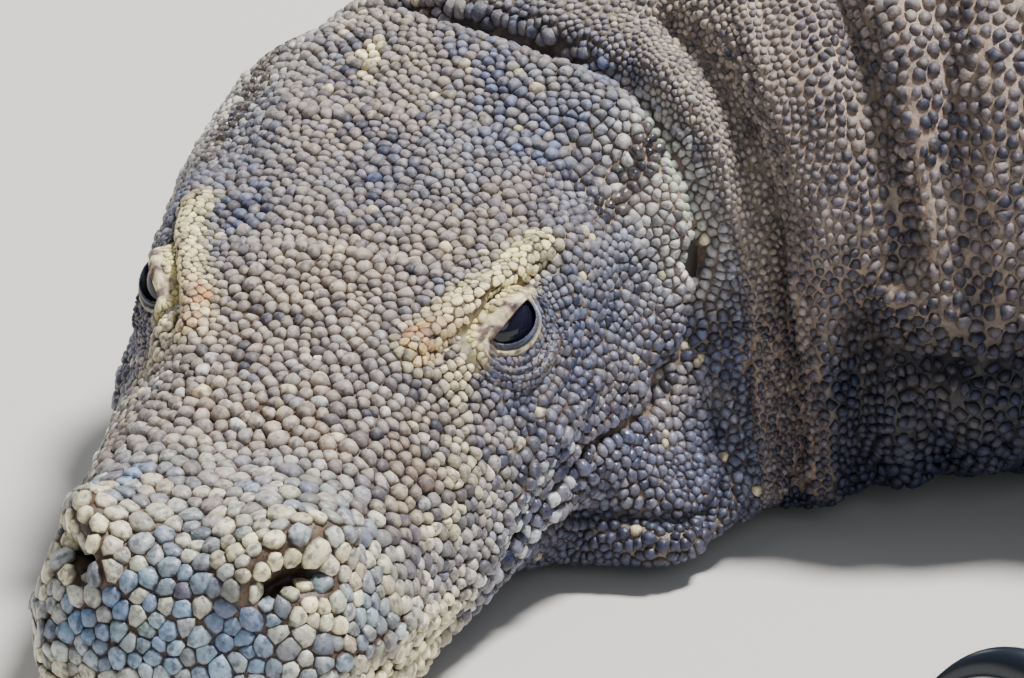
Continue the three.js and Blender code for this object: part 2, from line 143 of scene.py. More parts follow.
# Superellipse section: out = w sgn(cos) |cos|^(2/n), height = h sgn(sin) |sin|^(2/n), with one
# roundness n above its widest level and one below; both shrink to a point at the snout tip
def sectionPoint(s, phi):
    coat = body["coat"]
    halfWidth, top, level, above, below = (column(s, k) for k in range(1, 6))
    tip = np.sqrt(np.clip(1 - np.clip(1 - s / body["noseLength"], 0, 1) ** 2.2, 0, 1))
    c, u = np.cos(phi), np.sin(phi)
    power = 2 / np.where(u > 0, above, below)
    rise = np.where(u > 0, top - level - coat, level + body["sink"] - coat)
    out = (halfWidth - coat) * tip * np.sign(c) * np.abs(c) ** power
    return np.stack([s + coat * (1 - tip), out, level + rise * tip * np.sign(u) * np.abs(u) ** power], -1)


# Share of a push at each point: exp(-(d / radius)^2) of its distance d from the line a to b
def capsuleWeight(p, a, b, radius):
    a, b = np.array(a, float), np.array(b, float)
    k = np.clip((p - a) @ (b - a) / ((b - a) @ (b - a)), 0, 1)
    return np.exp(-(np.linalg.norm(p - a - k[..., None] * (b - a), axis=-1) / radius) ** 2)[..., None]


# Pushes points near a capsule by a bell curve of their distance from it, on both sides
def swell(p):
    result = p.copy()
    for item in swellings:
        for side in (1, -1) if item["from"][1] else (1,):
            flip = np.array([1, side, 1])
            weight = capsuleWeight(p, item["from"] * flip, item["to"] * flip, item["radius"])
            result += weight * np.array(item["push"]) * flip
    return result


# Loose skin of the throat, pressed out on the floor inside the turn of the neck
throatPouch = {"from": (-106, 128, 6), "to": (-122, 160, 6), "radius": 18, "push": (19, 3, 0)}


# From distance back, out to the left and height to the model's frame: out is measured square
# to the spine's heading, and the throat pouch is added last
def placed(p, shift=(0, 0)):
    s, angle = p[..., 0], np.radians(heading(p[..., 0]))
    x = np.interp(s, spineS, spineX) + np.sin(angle) * p[..., 1]
    y = np.interp(s, spineS, spineY) - np.cos(angle) * p[..., 1]
    result = np.stack([x, y, p[..., 2]], -1)
    weight = capsuleWeight(result, throatPouch["from"], throatPouch["to"], throatPouch["radius"])
    return result + weight * np.array(throatPouch["push"]) + np.array([*shift, 0])


# The spine's frame is moved so that the eye falls on its own node
eye = {"at": (116.8, 36.1, 67.2), "radius": 9.0}
sideName = {1: "left", -1: "right"}
low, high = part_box("eye_left")
eyeInSpine = placed(np.array([eye["at"]], float))[0]
eyeInFrame = (np.array(low) + np.array(high)) / 2 / mm
spineShift = (eyeInFrame - eyeInSpine)[:2]


# The body without folds: the section, swollen and placed, kept above the floor
def plainSurface(s, phi):
    p = placed(swell(sectionPoint(s, phi)), spineShift)
    p[..., 2] = np.maximum(p[..., 2], body["floorLift"])
    return p


# A direction of length 1: v over its own length
def unit(v):
    return v / np.maximum(np.linalg.norm(v, axis=-1, keepdims=True), 1e-9)


# Outward normal of a surface of (s, phi): the cross product of short steps each way
def surfaceNormal(function, s, phi, ds=0.6, dp=0.012):
    alongS = function(s + ds, phi) - function(np.maximum(s - ds, 0.01), phi)
    alongPhi = function(s, phi + dp) - function(s, phi - dp)
    return unit(np.cross(alongS, alongPhi))


# Smooth noise from about -1 to 1: a mean of sine waves of about one length in random directions
def waves(p, size, seed, count=5):
    gen = np.random.default_rng(seed)
    total = np.zeros(p.shape[:-1])
    for _ in range(count):
        direction = gen.normal(size=3)
        direction /= np.linalg.norm(direction) * size * gen.uniform(0.7, 1.3)
        total += np.sin(p @ direction * 2 * math.pi + gen.uniform(0, 6.28))
    return total / count * 1.4


# Lines on the skin: depth, width and nodes of (distance back, angle round the section in degrees)
# on the left side, each mirrored to the right. A positive depth is a groove, a negative one a ridge.
lines = {
    "mouth": (3.4, 1.5, [(156, 0), (144, -1), (128, -1), (112, -4), (99, -9), (90, -14), (82, -19),
        (66, -18), (44, -11), (25, -9), (10, -11), (3, -21), (1, -42), (0.6, -66), (0.5, -90)]),
    "upperLip": (-1.5, 3.0, [(146, 7), (128, 8), (112, 6), (99, 3), (82, -2), (66, -3), (44, 5), (25, 8),
        (10, 10)]),
    "lowerLip": (-1.0, 3.0, [(140, -10), (112, -15), (90, -28), (66, -30), (44, -26), (25, -26),
        (12, -30)]),
    "jawCrease": (5.5, 3.4, [(202, 100), (202, 80), (203, 72), (204, 65), (203, 57), (201, 51), (197, 44),
        (197, 35), (190, 23), (181, 12), (172, 4), (157, 1)]),
    "jawBulge": (-2.0, 8, [(189, 60), (190, 46), (186, 33), (176, 20), (165, 9)]),
    "foldOne": (6.5, 3.4, [(228, 70), (230, 54), (230, 40), (229, 27), (231, 15), (232, 6), (234, 0),
        (236, -6), (239, -16), (240, -32), (244, -45)]),
    "ridgeOne": (-3.0, 4.4, [(214, 60), (217, 37), (215, 25), (218, 15), (220, 6), (222, 0), (219, -8),
        (207, -21), (206, -36)]),
    "ridgeTwo": (-3.4, 5.5, [(248, 66), (250, 49), (253, 35), (261, 24), (261, 17), (250, 8), (262, 0),
        (269, -5), (271, -16), (270, -34)]),
    "foldTwo": (7.5, 4.4, [(272, 78), (278, 56), (280, 44), (281, 35), (282, 27), (284, 21), (285, 14),
        (284, 9)]),
    "foldTwoLow": (5.5, 4.5, [(277, 5), (275, 0), (275, -7), (277, -20), (279, -37)]),
    "ridgeThree": (-2.6, 5.0, [(290, 70), (288, 52), (289, 41), (289, 29), (289, 19), (293, 11), (296, 2),
        (298, -1)]),
    "foldThree": (3.6, 3.6, [(300, 46), (297, 34), (293, 24), (296, 15), (299, 6), (301, 0)]),
    "ridgeFour": (-2.6, 4.4, [(308, 40), (308, 26), (307, 11), (305, 3), (303, -1)]),
    "shelf": (7.0, 3.4, [(277, 0), (281, -2), (286, -4), (291, -5), (299, -6), (309, -7), (330, -8)]),
    "shelfEdge": (-3.0, 3.8, [(280, 5), (288, 3), (299, 1), (309, 0), (330, -2)]),
    "lowOne": (-3.0, 5, [(282, -6), (285, -16), (290, -42)]),
    "lowTwo": (-2.6, 5, [(297, -10), (301, -20), (306, -36)]),
    "lowThree": (3.0, 3.5, [(291, -8), (293, -20), (298, -38)]),
    "foldFive": (4.0, 5.5, [(336, 70), (326, 44), (330, 20), (326, 2), (334, -30)]),
    "foldSix": (4.0, 7, [(376, 60), (368, 30), (372, 4), (364, -28)]),
    "throatCrease": (3.4, 2.4, [(111, -19), (124, -23), (135, -27), (148, -28), (159, -27), (168, -24)]),
    "throatRoll": (-2.0, 5, [(130, -47), (143, -44), (152, -40), (164, -38)]),
    "throatFold": (2.6, 3.0, [(186, 2), (183, -4), (178, -12), (172, -22), (170, -30)]),
    "browCrest": (-2.6, 3.4, [(92, 62.5), (97, 61), (103, 59), (109, 56.5), (116, 54), (124, 52.5),
        (134, 53.5)]),
    "browGroove": (2.6, 2.2, [(94, 56), (103, 53), (109, 50), (116, 48), (124, 47), (132, 46)]),
    "eyeHollow": (2.4, 8, [(84, 50), (92, 36), (104, 26)]),
    "underEyeA": (-1.0, 2.4, [(98, 30), (110, 25), (124, 28), (134, 36)]),
    "underEyeB": (1.1, 2.0, [(96, 24), (110, 19), (128, 21), (142, 30)]),
    "cheekFold": (1.2, 2.2, [(104, 14), (122, 13), (140, 17), (156, 26)]),
    "temple": (2.2, 9, [(142, 60), (158, 56), (176, 54)]),
    "nostril": (7.5, 2.7, [(12, 52), (16, 47), (20, 42)]),
    "nostrilHood": (-2.4, 4.0, [(10, 64), (17, 62), (26, 54), (32, 44)]),
}
pits = {
    "eyeSocket": {"at": (113.5, 42.5), "depth": 6.5, "radius": 6.6, "sharp": 8},
    "ear": {"at": (186, 20), "depth": 4.5, "radius": 4.4, "sharp": 4},
}
neckWrinkles = {"from": 206, "fadeIn": 20, "to": 520, "fadeOut": 140, "pitch": 13.0, "depth": 0.9}
slackSkin = {"short": 26, "shortHigh": 0.5, "long": 70, "longHigh": 0.8, "longFrom": 230}
foldsEnd = 470                              # no line of the table lies further back than this


# A line of (distance back, degrees) nodes, cut evenly into so many steps between each two
def stepsAlong(nodes, per):
    nodes = np.array(nodes, float)
    t = np.linspace(0, len(nodes) - 1, (len(nodes) - 1) * per + 1)
    s, degrees = (np.interp(t, np.arange(len(nodes)), nodes[:, c]) for c in (0, 1))
    return s, np.radians(degrees)


# Points along a line of nodes, put on the plain surface
def traced(nodes, side):
    s, phi = stepsAlong(nodes, 8)
    return plainSurface(s, phi if side > 0 else math.pi - phi)


# Least distance from each point to a line of points, each taken as a string of short segments
def distanceTo(points, path):
    best = np.full(len(points), 1e9)
    for a, b in zip(path[:-1], path[1:]):
        ab = b - a
        k = np.clip((points - a) @ ab / max(ab @ ab, 1e-9), 0, 1)
        best = np.minimum(best, np.linalg.norm(points - a - k[:, None] * ab, axis=1))
    return best


reliefPaths = [(depth, width, traced(nodes, side))
               for depth, width, nodes in lines.values() for side in (1, -1)]
pitCentres = [(item, traced([item["at"], item["at"]], side)[0]) for item in pits.values() for side in (1, -1)]


# How far the skin stands out of the plain surface: depth * exp(-(d / width)^2) across each line,
# depth * exp(-(d / radius)^sharp) at each pit, rings of wrinkles on the neck, slow waves everywhere
def relief(p, s, phi):
    p, s, phi = p.reshape(-1, 3), s.ravel(), phi.ravel()
    out = (slackSkin["shortHigh"] * waves(p, slackSkin["short"], 3) * ease(s / 30)
           + slackSkin["longHigh"] * waves(p, slackSkin["long"], 4) * ease((s - slackSkin["longFrom"]) / 100))
    neck = ease((s - neckWrinkles["from"]) / neckWrinkles["fadeIn"])
    neck = neck * ease((neckWrinkles["to"] - s) / neckWrinkles["fadeOut"])
    phase = (s + 5 * waves(p, 45, 5)) / neckWrinkles["pitch"] * 2 * math.pi
    out -= neck * neckWrinkles["depth"] * (0.5 + 0.5 * np.cos(phase)) ** 2 * (1 + 0.5 * waves(p, 30, 6))
    near = s < foldsEnd
    q = p[near]
    extra = np.zeros(len(q))
    for depth, width, path in reliefPaths:
        reach = 3.2 * width
        inside = np.all((q > path.min(0) - reach) & (q < path.max(0) + reach), axis=1)
        if inside.any():
            d = distanceTo(q[inside], path)
            extra[inside] -= depth * np.exp(-(d / width) ** 2)
    for item, centre in pitCentres:
        d = np.linalg.norm(q - centre, axis=1) / item["radius"]
        extra -= item["depth"] * np.exp(-d ** item["sharp"])
    out[near] += extra
    return out


# The body with its folds: the plain surface, moved along its normal by the relief
def skinSurface(s, phi):
    s, phi = np.broadcast_arrays(np.asarray(s, float), np.asarray(phi, float))
    p = plainSurface(s, phi)
    normal = surfaceNormal(plainSurface, s, phi)
    p = p + normal * relief(p, s, phi).reshape(s.shape)[..., None]
    p[..., 2] = np.maximum(p[..., 2], body["floorLift"])
    return p


print("surface ready")


# A smooth-shaded piece from points in millimetres, at the origin
def newPiece(name, points, faces):
    mesh = bpy.data.meshes.new(name)
    mesh.from_pydata((points * mm).tolist(), [], [list(map(int, f)) for f in faces])
    mesh.update()
    mesh.polygons.foreach_set("use_smooth", np.ones(len(mesh.polygons), bool))
    piece = bpy.data.objects.new(name, mesh)
    bpy.context.scene.collection.objects.link(piece)
    return piece


# Faces between ring i of a grid and the next; the grid closes round its second direction
def gridFaces(rows, around, start=0):
    i, j = np.meshgrid(np.arange(rows - 1), np.arange(around), indexing="ij")
    a, b = start + i * around + j, start + i * around + (j + 1) % around
    return np.stack([a, a + around, b + around, b], -1).reshape(-1, 4)


# A closed tube: a grid of rings (rows, around, 3) with a fan of triangles over each end
def tubeMesh(rings):
    rows, around = rings.shape[:2]
    points = np.concatenate([rings.reshape(-1, 3), rings[:1].mean(1), rings[-1:].mean(1)])
    j, nxt, last = np.arange(around), (np.arange(around) + 1) % around, (rows - 1) * around
    first = np.stack([np.full(around, len(points) - 2), j, nxt], -1)
    end = np.stack([np.full(around, len(points) - 1), last + nxt, last + j], -1)
    return points, [*gridFaces(rows, around), *first, *end]


# Trunk: a tube whose rings have fewer points from one stretch to the next, halved at each step
trunkRings = [
    {"around": 192, "to": 300, "steps": [(0.25, 0.5), (30, 0.9), (60, 1.4), (215, 1.6), (300, 2.4)]},
    {"around": 96, "to": 1180, "steps": [(460, 4), (1180, 9)]},
    {"around": 48, "to": 2520, "steps": [(2520, 11)]},
]


# The trunk's mesh: a grid of skin points for each stretch, sewn to the next with three triangles
# to each of its points, and a fan of triangles over each end
def trunkMesh():
    points, faces, start, place, last = [], [], 0, 0.25, None
    for part in trunkRings:
        stations = []
        for end, step in part["steps"]:
            while place < end - 1e-6:
                stations.append(place)
                place += step
        if part is trunkRings[-1]:
            stations.append(body["length"])
        around = part["around"]
        phi = np.arange(around) / around * 2 * math.pi
        grid = skinSurface(np.array(stations)[:, None], phi[None, :])
        points.append(grid.reshape(-1, 3))
        if last is not None:
            j = np.arange(around)
            a, b, c = last + 2 * j, last + 2 * j + 1, last + (2 * j + 2) % (2 * around)
            low0, low1 = start + j, start + (j + 1) % around
            for corners in ([a, low0, b], [b, low0, low1], [b, low1, c]):
                faces += [*np.stack(corners, -1)]
        faces += [*gridFaces(len(stations), around, start)]
        last = start + (len(stations) - 1) * around
        start += len(stations) * around
    first, around = trunkRings[0]["around"], trunkRings[-1]["around"]
    tip, end = points[0][:first].mean(0), points[-1][-around:].mean(0)
    j = np.arange(first)
    faces += [*np.stack([np.full(first, start), j, (j + 1) % first], -1)]
    j = np.arange(around)
    faces += [*np.stack([np.full(around, start + 1), last + (j + 1) % around, last + j], -1)]
    return np.concatenate([*points, [tip], [end]]), faces


skin = newPiece("skin", *trunkMesh())
print("trunk", len(skin.data.vertices))

# Legs: joints as (forward, out, height) from the spine at a station, half sizes along the limb,
# a flat palm and five digits, as in the part; out is to the left for side 1
foreLeg = {
    "station": 455, "parts": ("upper_arm", "forearm", "hand"), "palm": (42, 37, 15), "radius": 9,
    "sizes": [[50, 58], [48, 50], [40, 40], [39, 35], [28, 21]],
    "digits": [[42, 30], [22, 42], [2, 50], [-18, 50], [-42, 36]]}
hindLeg = {
    "station": 1060, "parts": ("thigh", "shank", "foot"), "palm": (66, 36, 17), "radius": 10,
    "sizes": [[70, 74], [62, 62], [48, 48], [45, 41], [31, 24]],
    "digits": [[44, 34], [24, 50], [8, 66], [-10, 74], [-40, 48]]}
legs = {
    "fore_left": {**foreLeg, "side": 1, "pointing": -8, "joints": [
        [-4, 70, 92], [-4, 148, 80], [3, 214, 58], [40, 234, 42], [86, 225, 25]]},
    "fore_right": {**foreLeg, "side": -1, "pointing": 6, "joints": [
        [-6, 70, 92], [-14, 146, 80], [-10, 212, 58], [30, 244, 42], [86, 240, 25]]},
    "hind_left": {**hindLeg, "side": 1, "pointing": 100, "joints": [
        [-6, 40, 88], [30, 140, 82], [58, 216, 64], [16, 272, 46], [-62, 296, 27]]},
    "hind_right": {**hindLeg, "side": -1, "pointing": 92, "joints": [
        [-6, 40, 88], [12, 140, 82], [34, 220, 64], [-8, 268, 46], [-92, 286, 27]]},
}
legSkin = {
    "around": 40, "limbFrom": 0.03, "limbRings": 44, "wristAt": 0.8333,
    "toeTip": 8, "toeRings": 22, "knuckles": 0.07, "toeAhead": 0.98, "toeArc": 0.22, "toeSpread": 0.78,
    "voxel": 0.0038, "softFactor": 0.5, "softRounds": 4,
    "folds": [(0.9, 24, 11), (0.6, 11, 12)],          # height, length and seed of the waves
    "foldSink": 0.4, "foldFrom": 6, "foldOver": 20,   # none near the floor
    "blend": 13, "blendRounds": 14, "blendFrom": 8, "blendRamp": 1.6, "blendPull": 0.7, "far": 40.0,
}


# Point of a centripetal Catmull-Rom curve through the points: a cubic between each two, its
# slopes from knots spaced by the square root of the distance
def curvePoint(points, u):
    p = np.vstack([2 * points[0] - points[1], points, 2 * points[-1] - points[-2]])
    x = np.clip(u, 0, 1) * (len(points) - 1)
    i = np.minimum(x.astype(int), len(points) - 2)
    t = (x - i)[:, None]
    a, b, c, d = p[i], p[i + 1], p[i + 2], p[i + 3]
    k0, k1, k2 = (np.sqrt(np.linalg.norm(n - m, axis=1))[:, None] for m, n in ((a, b), (b, c), (c, d)))
    m1 = ((b - a) / k0 - (c - a) / (k0 + k1) + (c - b) / k1) * k1
    m2 = ((c - b) / k1 - (d - b) / (k1 + k2) + (d - c) / k2) * k1
    return b + m1 * t + (3 * (c - b) - 2 * m1 - m2) * t ** 2 + (2 * (b - c) + m1 + m2) * t ** 3


# Rings of ellipses: centre + wide cos(angle) across + high sin(angle) over, across level
def ovals(centre, along, wide, high, around, floor):
    across = unit(np.cross(along, [0, 0, 1.0]))
    over = unit(np.cross(across, along))
    angle = (np.arange(around) + 0.5) / around * 2 * math.pi
    rings = (centre[:, None] + wide[:, None, None] * np.cos(angle)[None, :, None] * across[:, None]
             + high[:, None, None] * np.sin(angle)[None, :, None] * over[:, None])
    rings[..., 2] = np.maximum(rings[..., 2], floor)
    return rings


# The spine's own directions at a station: the point, forward, and out to the given side
def frameAt(station, side):
    at = placed(np.array([[station, 0.0, 0.0]]), spineShift)[0]
    a = math.radians(heading(float(station)))
    forward, left = np.array([-math.cos(a), -math.sin(a), 0]), np.array([math.sin(a), -math.cos(a), 0])
    return at, forward, left * side


# Limb from shoulder or hip to wrist: ellipses along the curve, sizes eased from joint to joint
def limbRings(leg, shares, around):
    sizes = np.array(leg["sizes"], float)
    x = np.clip(shares, 0, 1) * (len(sizes) - 1)
    i = np.minimum(x.astype(int), len(sizes) - 2)
    size = sizes[i] + (sizes[i + 1] - sizes[i]) * ease(x - i)[:, None] - body["coat"]
    u = np.clip(shares, 0, 1) * legSkin["wristAt"]
    path = leg["path"]
    return ovals(curvePoint(path, u), unit(curvePoint(path, u + 1e-3) - curvePoint(path, u - 1e-3)),
                 size[:, 0], size[:, 1], around, body["floorLift"])


# Palm: five flat ellipses. Columns: share of its length, share of its width, extra height
palmShape = [[0, 0.76, 6], [0.45, 0.86, 3], [0.8, 1, 0], [1.05, 0.9, -3], [1.2, 0.6, -7]]


def palmRings(leg, around):
    length, halfWidth, halfHeight = leg["palm"]
    shape = np.array(palmShape)
    centre = leg["wrist"] + leg["ahead"] * (length * shape[:, :1])
    high = halfHeight + shape[:, 2]
    centre[:, 2] = high - 1
    along = np.repeat(leg["ahead"][None], len(shape), 0)
    wide, high = halfWidth * shape[:, 1] - body["coat"], high - body["coat"]
    return ovals(centre, along, wide, high, around, body["floorLift"])


# Digit: circles along a straight line that dips to the tip; the radius narrows to 0.6 of itself
# and swells by a cosine at the knuckles
def digitRings(leg, digit, around):
    base, direction, reach = digit
    r, count = leg["radius"], legSkin["toeRings"]
    t = np.linspace(0, 1, count)
    along = -0.6 * r + (reach + 0.6 * r) * t
    knots = [-0.6 * r, 0.35 * reach, 0.7 * reach, reach - 3, reach]
    high = np.interp(along, knots, [15, 17, 13, legSkin["toeTip"] + 0.5, legSkin["toeTip"]])
    size = r * np.interp(along, knots, [0.95, 1, 0.92, 0.86, 0.6]) - body["coat"]
    size *= 1 + legSkin["knuckles"] * np.cos(t * 3 * 2 * math.pi)
    centre = base + direction * along[:, None]
    centre[:, 2] = high
    return ovals(centre, np.repeat(direction[None], count, 0), size, size, around, body["floorLift"])


# Each leg's joints, wrist and toes in the model's frame; toes fan out from the palm's front edge
for leg in legs.values():
    at, forward, out = frameAt(leg["station"], leg["side"])
    joints = np.array([at + forward * a + out * b + [0, 0, c] for a, b, c in leg["joints"]])
    yaw = math.radians(leg["pointing"])
    leg["ahead"] = forward * math.cos(yaw) + out * math.sin(yaw)
    sideways = -forward * math.sin(yaw) + out * math.cos(yaw)
    leg["wrist"] = joints[-1]
    length, halfWidth, halfHeight = leg["palm"]
    beyond = joints[-1] + leg["ahead"] * length
    beyond[2] = halfHeight
    leg["path"] = np.vstack([joints, beyond])
    leg["toes"] = []
    for i, (spread, reach) in enumerate(leg["digits"]):
        angle, share = math.radians(spread), (2 - i) / 2
        direction = leg["ahead"] * math.cos(angle) - sideways * math.sin(angle)
        base = (joints[-1] + leg["ahead"] * length * (legSkin["toeAhead"] - legSkin["toeArc"] * abs(share))
                - sideways * halfWidth * legSkin["toeSpread"] * share)
        leg["toes"].append((base, direction, reach))


# Replaces a piece's mesh by what its modifiers make of it
def evaluated(piece):
    graph = bpy.context.evaluated_depsgraph_get()
    mesh = bpy.data.meshes.new_from_object(piece.evaluated_get(graph), depsgraph=graph)
    piece.modifiers.clear()
    piece.data = mesh


# A mesh's points in millimetres
def meshPoints(mesh):
    co = np.empty(len(mesh.vertices) * 3, np.float32)
    mesh.vertices.foreach_get("co", co)
    return co.reshape(-1, 3).astype(float) / mm


# Search tree of a mesh's faces
def treeOf(mesh):
    return BVHTree.FromPolygons(meshPoints(mesh).tolist(), [tuple(p.vertices) for p in mesh.polygons])


# Legs: the tubes of limb, palm and digits melted into one by a voxel remesh, smoothed, then moved
# along their normals by waves for the folds of loose skin
trunkTree = treeOf(skin.data)
legPieces = []
for name, leg in legs.items():
    points, faces = [], []
    around = legSkin["around"]
    shares = np.linspace(legSkin["limbFrom"], 1, legSkin["limbRings"])
    tubes = [limbRings(leg, shares, around), palmRings(leg, around)]
    tubes += [digitRings(leg, toe, around // 2) for toe in leg["toes"]]
    start = 0
    for rings in tubes:
        p, f = tubeMesh(rings)
        points.append(p)
        faces += [[k + start for k in face] for face in f]
        start += len(p)
    points = np.concatenate(points)
    piece = newPiece(name, points, faces)
    remesh = piece.modifiers.new("whole", "REMESH")
    remesh.mode, remesh.voxel_size, remesh.adaptivity = "VOXEL", legSkin["voxel"], 0
    smooth = piece.modifiers.new("soft", "SMOOTH")
    smooth.factor, smooth.iterations = legSkin["softFactor"], legSkin["softRounds"]
    evaluated(piece)
    p = meshPoints(piece.data)
    normals = np.empty(len(p) * 3, np.float32)
    piece.data.vertices.foreach_get("normal", normals)
    normals = normals.reshape(-1, 3).astype(float)
    fold = sum(high * waves(p, length, seed) for high, length, seed in legSkin["folds"])
    offFloor = ease((p[:, 2] - legSkin["foldFrom"]) / legSkin["foldOver"])
    p += normals * (fold - legSkin["foldSink"])[:, None] * offFloor[:, None]
    p[:, 2] = np.maximum(p[:, 2], body["floorLift"])
    piece.data.vertices.foreach_set("co", (p * mm).astype(np.float32).ravel())
    legPieces.append(piece)
legTrees = [treeOf(piece.data) for piece in legPieces]
print("legs", [len(piece.data.vertices) for piece in legPieces])

for piece in legPieces:
    join = skin.modifiers.new(piece.name, "BOOLEAN")
    join.operation, join.object, join.solver = "UNION", piece, "MANIFOLD"
evaluated(skin)
for piece in legPieces:
    bpy.data.objects.remove(piece)
print("joined", len(skin.data.vertices))


# Softens the join of legs and trunk: each point near both moves towards the mean of its neighbours
def softenJoin():
    p = meshPoints(skin.data)
    pairs = np.empty(len(skin.data.edges) * 2, np.int32)
    skin.data.edges.foreach_get("vertices", pairs)
    pairs = pairs.reshape(-1, 2)
    far = legSkin["far"]
    weight = np.zeros(len(p))
    for k in np.flatnonzero(p[:, 2] > legSkin["blendFrom"]):
        at = Vector(p[k])
        toTrunk = trunkTree.find_nearest(at, far)[3]
        toTrunk = far if toTrunk is None else toTrunk
        if toTrunk < legSkin["blend"]:
            found = [tree.find_nearest(at, far)[3] for tree in legTrees]
            toLeg = min([far if d is None else d for d in found])
            weight[k] = ease(legSkin["blendRamp"] * (1 - max(toTrunk, toLeg) / legSkin["blend"]))
    degree = np.bincount(pairs.ravel(), minlength=len(p))
    for _ in range(legSkin["blendRounds"]):
        total = np.stack([np.bincount(pairs[:, 0], p[pairs[:, 1], c], len(p))
                          + np.bincount(pairs[:, 1], p[pairs[:, 0], c], len(p)) for c in range(3)], -1)
        p += (total / degree[:, None] - p) * (legSkin["blendPull"] * weight)[:, None]
    p = np.clip(p, boxLow, boxHigh)
    skin.data.vertices.foreach_set("co", (p * mm).astype(np.float32).ravel())
    skin.data.update()


softenJoin()
skin.data.polygons.foreach_set("use_smooth", np.ones(len(skin.data.polygons), bool))
skinTree = treeOf(skin.data)
print("skin", len(skin.data.vertices), sum(len(p.vertices) - 2 for p in skin.data.polygons))
fleshNodes = ["head", "lower_jaw", "neck", "chest", "belly"]
fleshNodes += [f"tail_{part}" for part in ("base", "middle", "rear", "tip")]
fleshNodes += [f"{name}_{part}" for name, leg in legs.items() for part in leg["parts"]]
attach(skin, "root")
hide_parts(*fleshNodes)


# exp(-((x - centre) / width)^2)
def smoothBell(x, centre, width):
    return np.exp(-((x - centre) / width) ** 2)


# Angle round the section in degrees, the right side folded onto the left
def foldedAngle(phi):
    deg = np.degrees(np.arctan2(np.sin(phi), np.cos(phi)))
    return np.where(deg > 90, 180 - deg, np.where(deg < -90, -180 - deg, deg))


# Coordinates for masks on the head: distance back, |out| and height before the spine is bent
def headPoint(s, phi):
    q = swell(sectionPoint(s, phi))
    q[..., 1] = np.abs(q[..., 1])
    return q


# A line of nodes in the same coordinates
def headPath(nodes):
    return headPoint(*stepsAlong(nodes, 6))


# Places on the skin of the head that sizes and markings are measured from
eyeSkin, earSkin, nostrilSkin = (headPoint(np.array([s]), np.radians([degrees]))[0]
                                 for s, degrees in ((112.5, 42.5), (186.0, 20.0), (15.0, 47.0)))
nostrilPath = headPath(lines["nostril"][2])
mouthPath = headPath(lines["mouth"][2])
browPath = headPath(lines["browCrest"][2])

# Size of the scales, from one to the next, in mm: columns distance back, size
scaleSizes = {
    "along": [[0, 3.6], [28, 3.7], [50, 3.5], [70, 2.9], [90, 2.6], [112, 2.7], [135, 2.6], [160, 2.4],
              [205, 2.4], [240, 3.0], [330, 3.8], [440, 4.8], [620, 7.8], [1180, 7.8], [1500, 7.2],
              [2000, 6.2], [2520, 4.4]],
    "lip": [[0, 3.7], [60, 3.6], [100, 3.1], [150, 2.5]], "lipReach": 6,
    "lid": 1.7, "lidFrom": 12, "lidReach": 12, "brow": 1.7, "browReach": 5, "throat": 2.0, "limb": 6.8,
    "digit": 5.0, "spread": 0.13, "innerNeck": 0.30, "farNeck": 0.32,
}

# Head: scattered points, densest where scales are smallest, then pushed apart
headCoat = {
    "end": 206, "candidates": 120000, "spacing": 0.80, "rounds": 5, "gap": 1.02, "push": 0.33,
    "mouthGap": 1.5, "nostrilGap": 3.1, "earGap": 2.8,
    "lipRow": 2.7, "lipRowHalf": 0.35,                                   # a row along the lips
    "eyeRingFirst": 15, "eyeRingPitch": 2.1, "eyeRingEnd": 24, "eyeRingHalf": 0.12,
}


# Size of the scale at each point: the table's, mixed towards that of the lid, brow, throat and lip
# by bells and ramps, smaller inside the bend of the neck and larger on its far side
def scaleSize(s, phi):
    size = np.interp(s, *np.array(scaleSizes["along"]).T)
    near = s < headCoat["end"]
    q = headPoint(s[near], phi[near])
    deg = foldedAngle(phi[near])
    fromEye = np.linalg.norm(q - eyeSkin, axis=-1)
    part = size[near]
    onLid = 1 - ease((fromEye - scaleSizes["lidFrom"]) / scaleSizes["lidReach"])
    part = part + (scaleSizes["lid"] - part) * onLid
    brow = np.exp(-(distanceTo(q, browPath) / scaleSizes["browReach"]) ** 2)
    part += (scaleSizes["brow"] - part) * brow * 0.85
    part *= 1 - 0.12 * ease((50 - deg) / 14) * ease((q[:, 0] - 100) / 30)
    throat = ease((-12 - deg) / 10) * ease((q[:, 0] - 95) / 20)
    throat = np.maximum(throat, ease((14 - deg) / 14) * ease((q[:, 0] - 158) / 16))
    part += (scaleSizes["throat"] - part) * throat
    lip = np.exp(-(distanceTo(q, mouthPath) / scaleSizes["lipReach"]) ** 4) * (1 - throat)
    part += (np.interp(q[:, 0], *np.array(scaleSizes["lip"]).T) - part) * lip
    size[near] = part
    left = ease((np.cos(phi) + 0.1) / 0.5)
    size *= 1 - scaleSizes["innerNeck"] * left * ease((s - 196) / 14) * ease((300 - s) / 50) * (s >= 196)
    size *= 1 + scaleSizes["farNeck"] * (1 - left) * ease((s - 225) / 60) * ease((620 - s) / 60)
    return size


# Search tree of points, each under its row
def kdTree(points):
    tree = KDTree(len(points))
    for k, point in enumerate(points):
        tree.insert(point, k)
    tree.balance()
    return tree


# Keeps the first of any candidates closer than their radius, taken in the order given
def thinned(points, radius, order):
    tree = kdTree(points)
    free = np.ones(len(points), bool)
    kept = []
    for k in order:
        if free[k]:
            kept.append(k)
            for _, other, _ in tree.find_range(points[k], radius[k]):
                free[other] = False
    return np.array(kept)


# The rows of the nearest other points of each point
def neighbours(points, count):
    tree = kdTree(points)
    return np.array([[item[1] for item in tree.find_n(point, count + 1)][1:] for point in points])


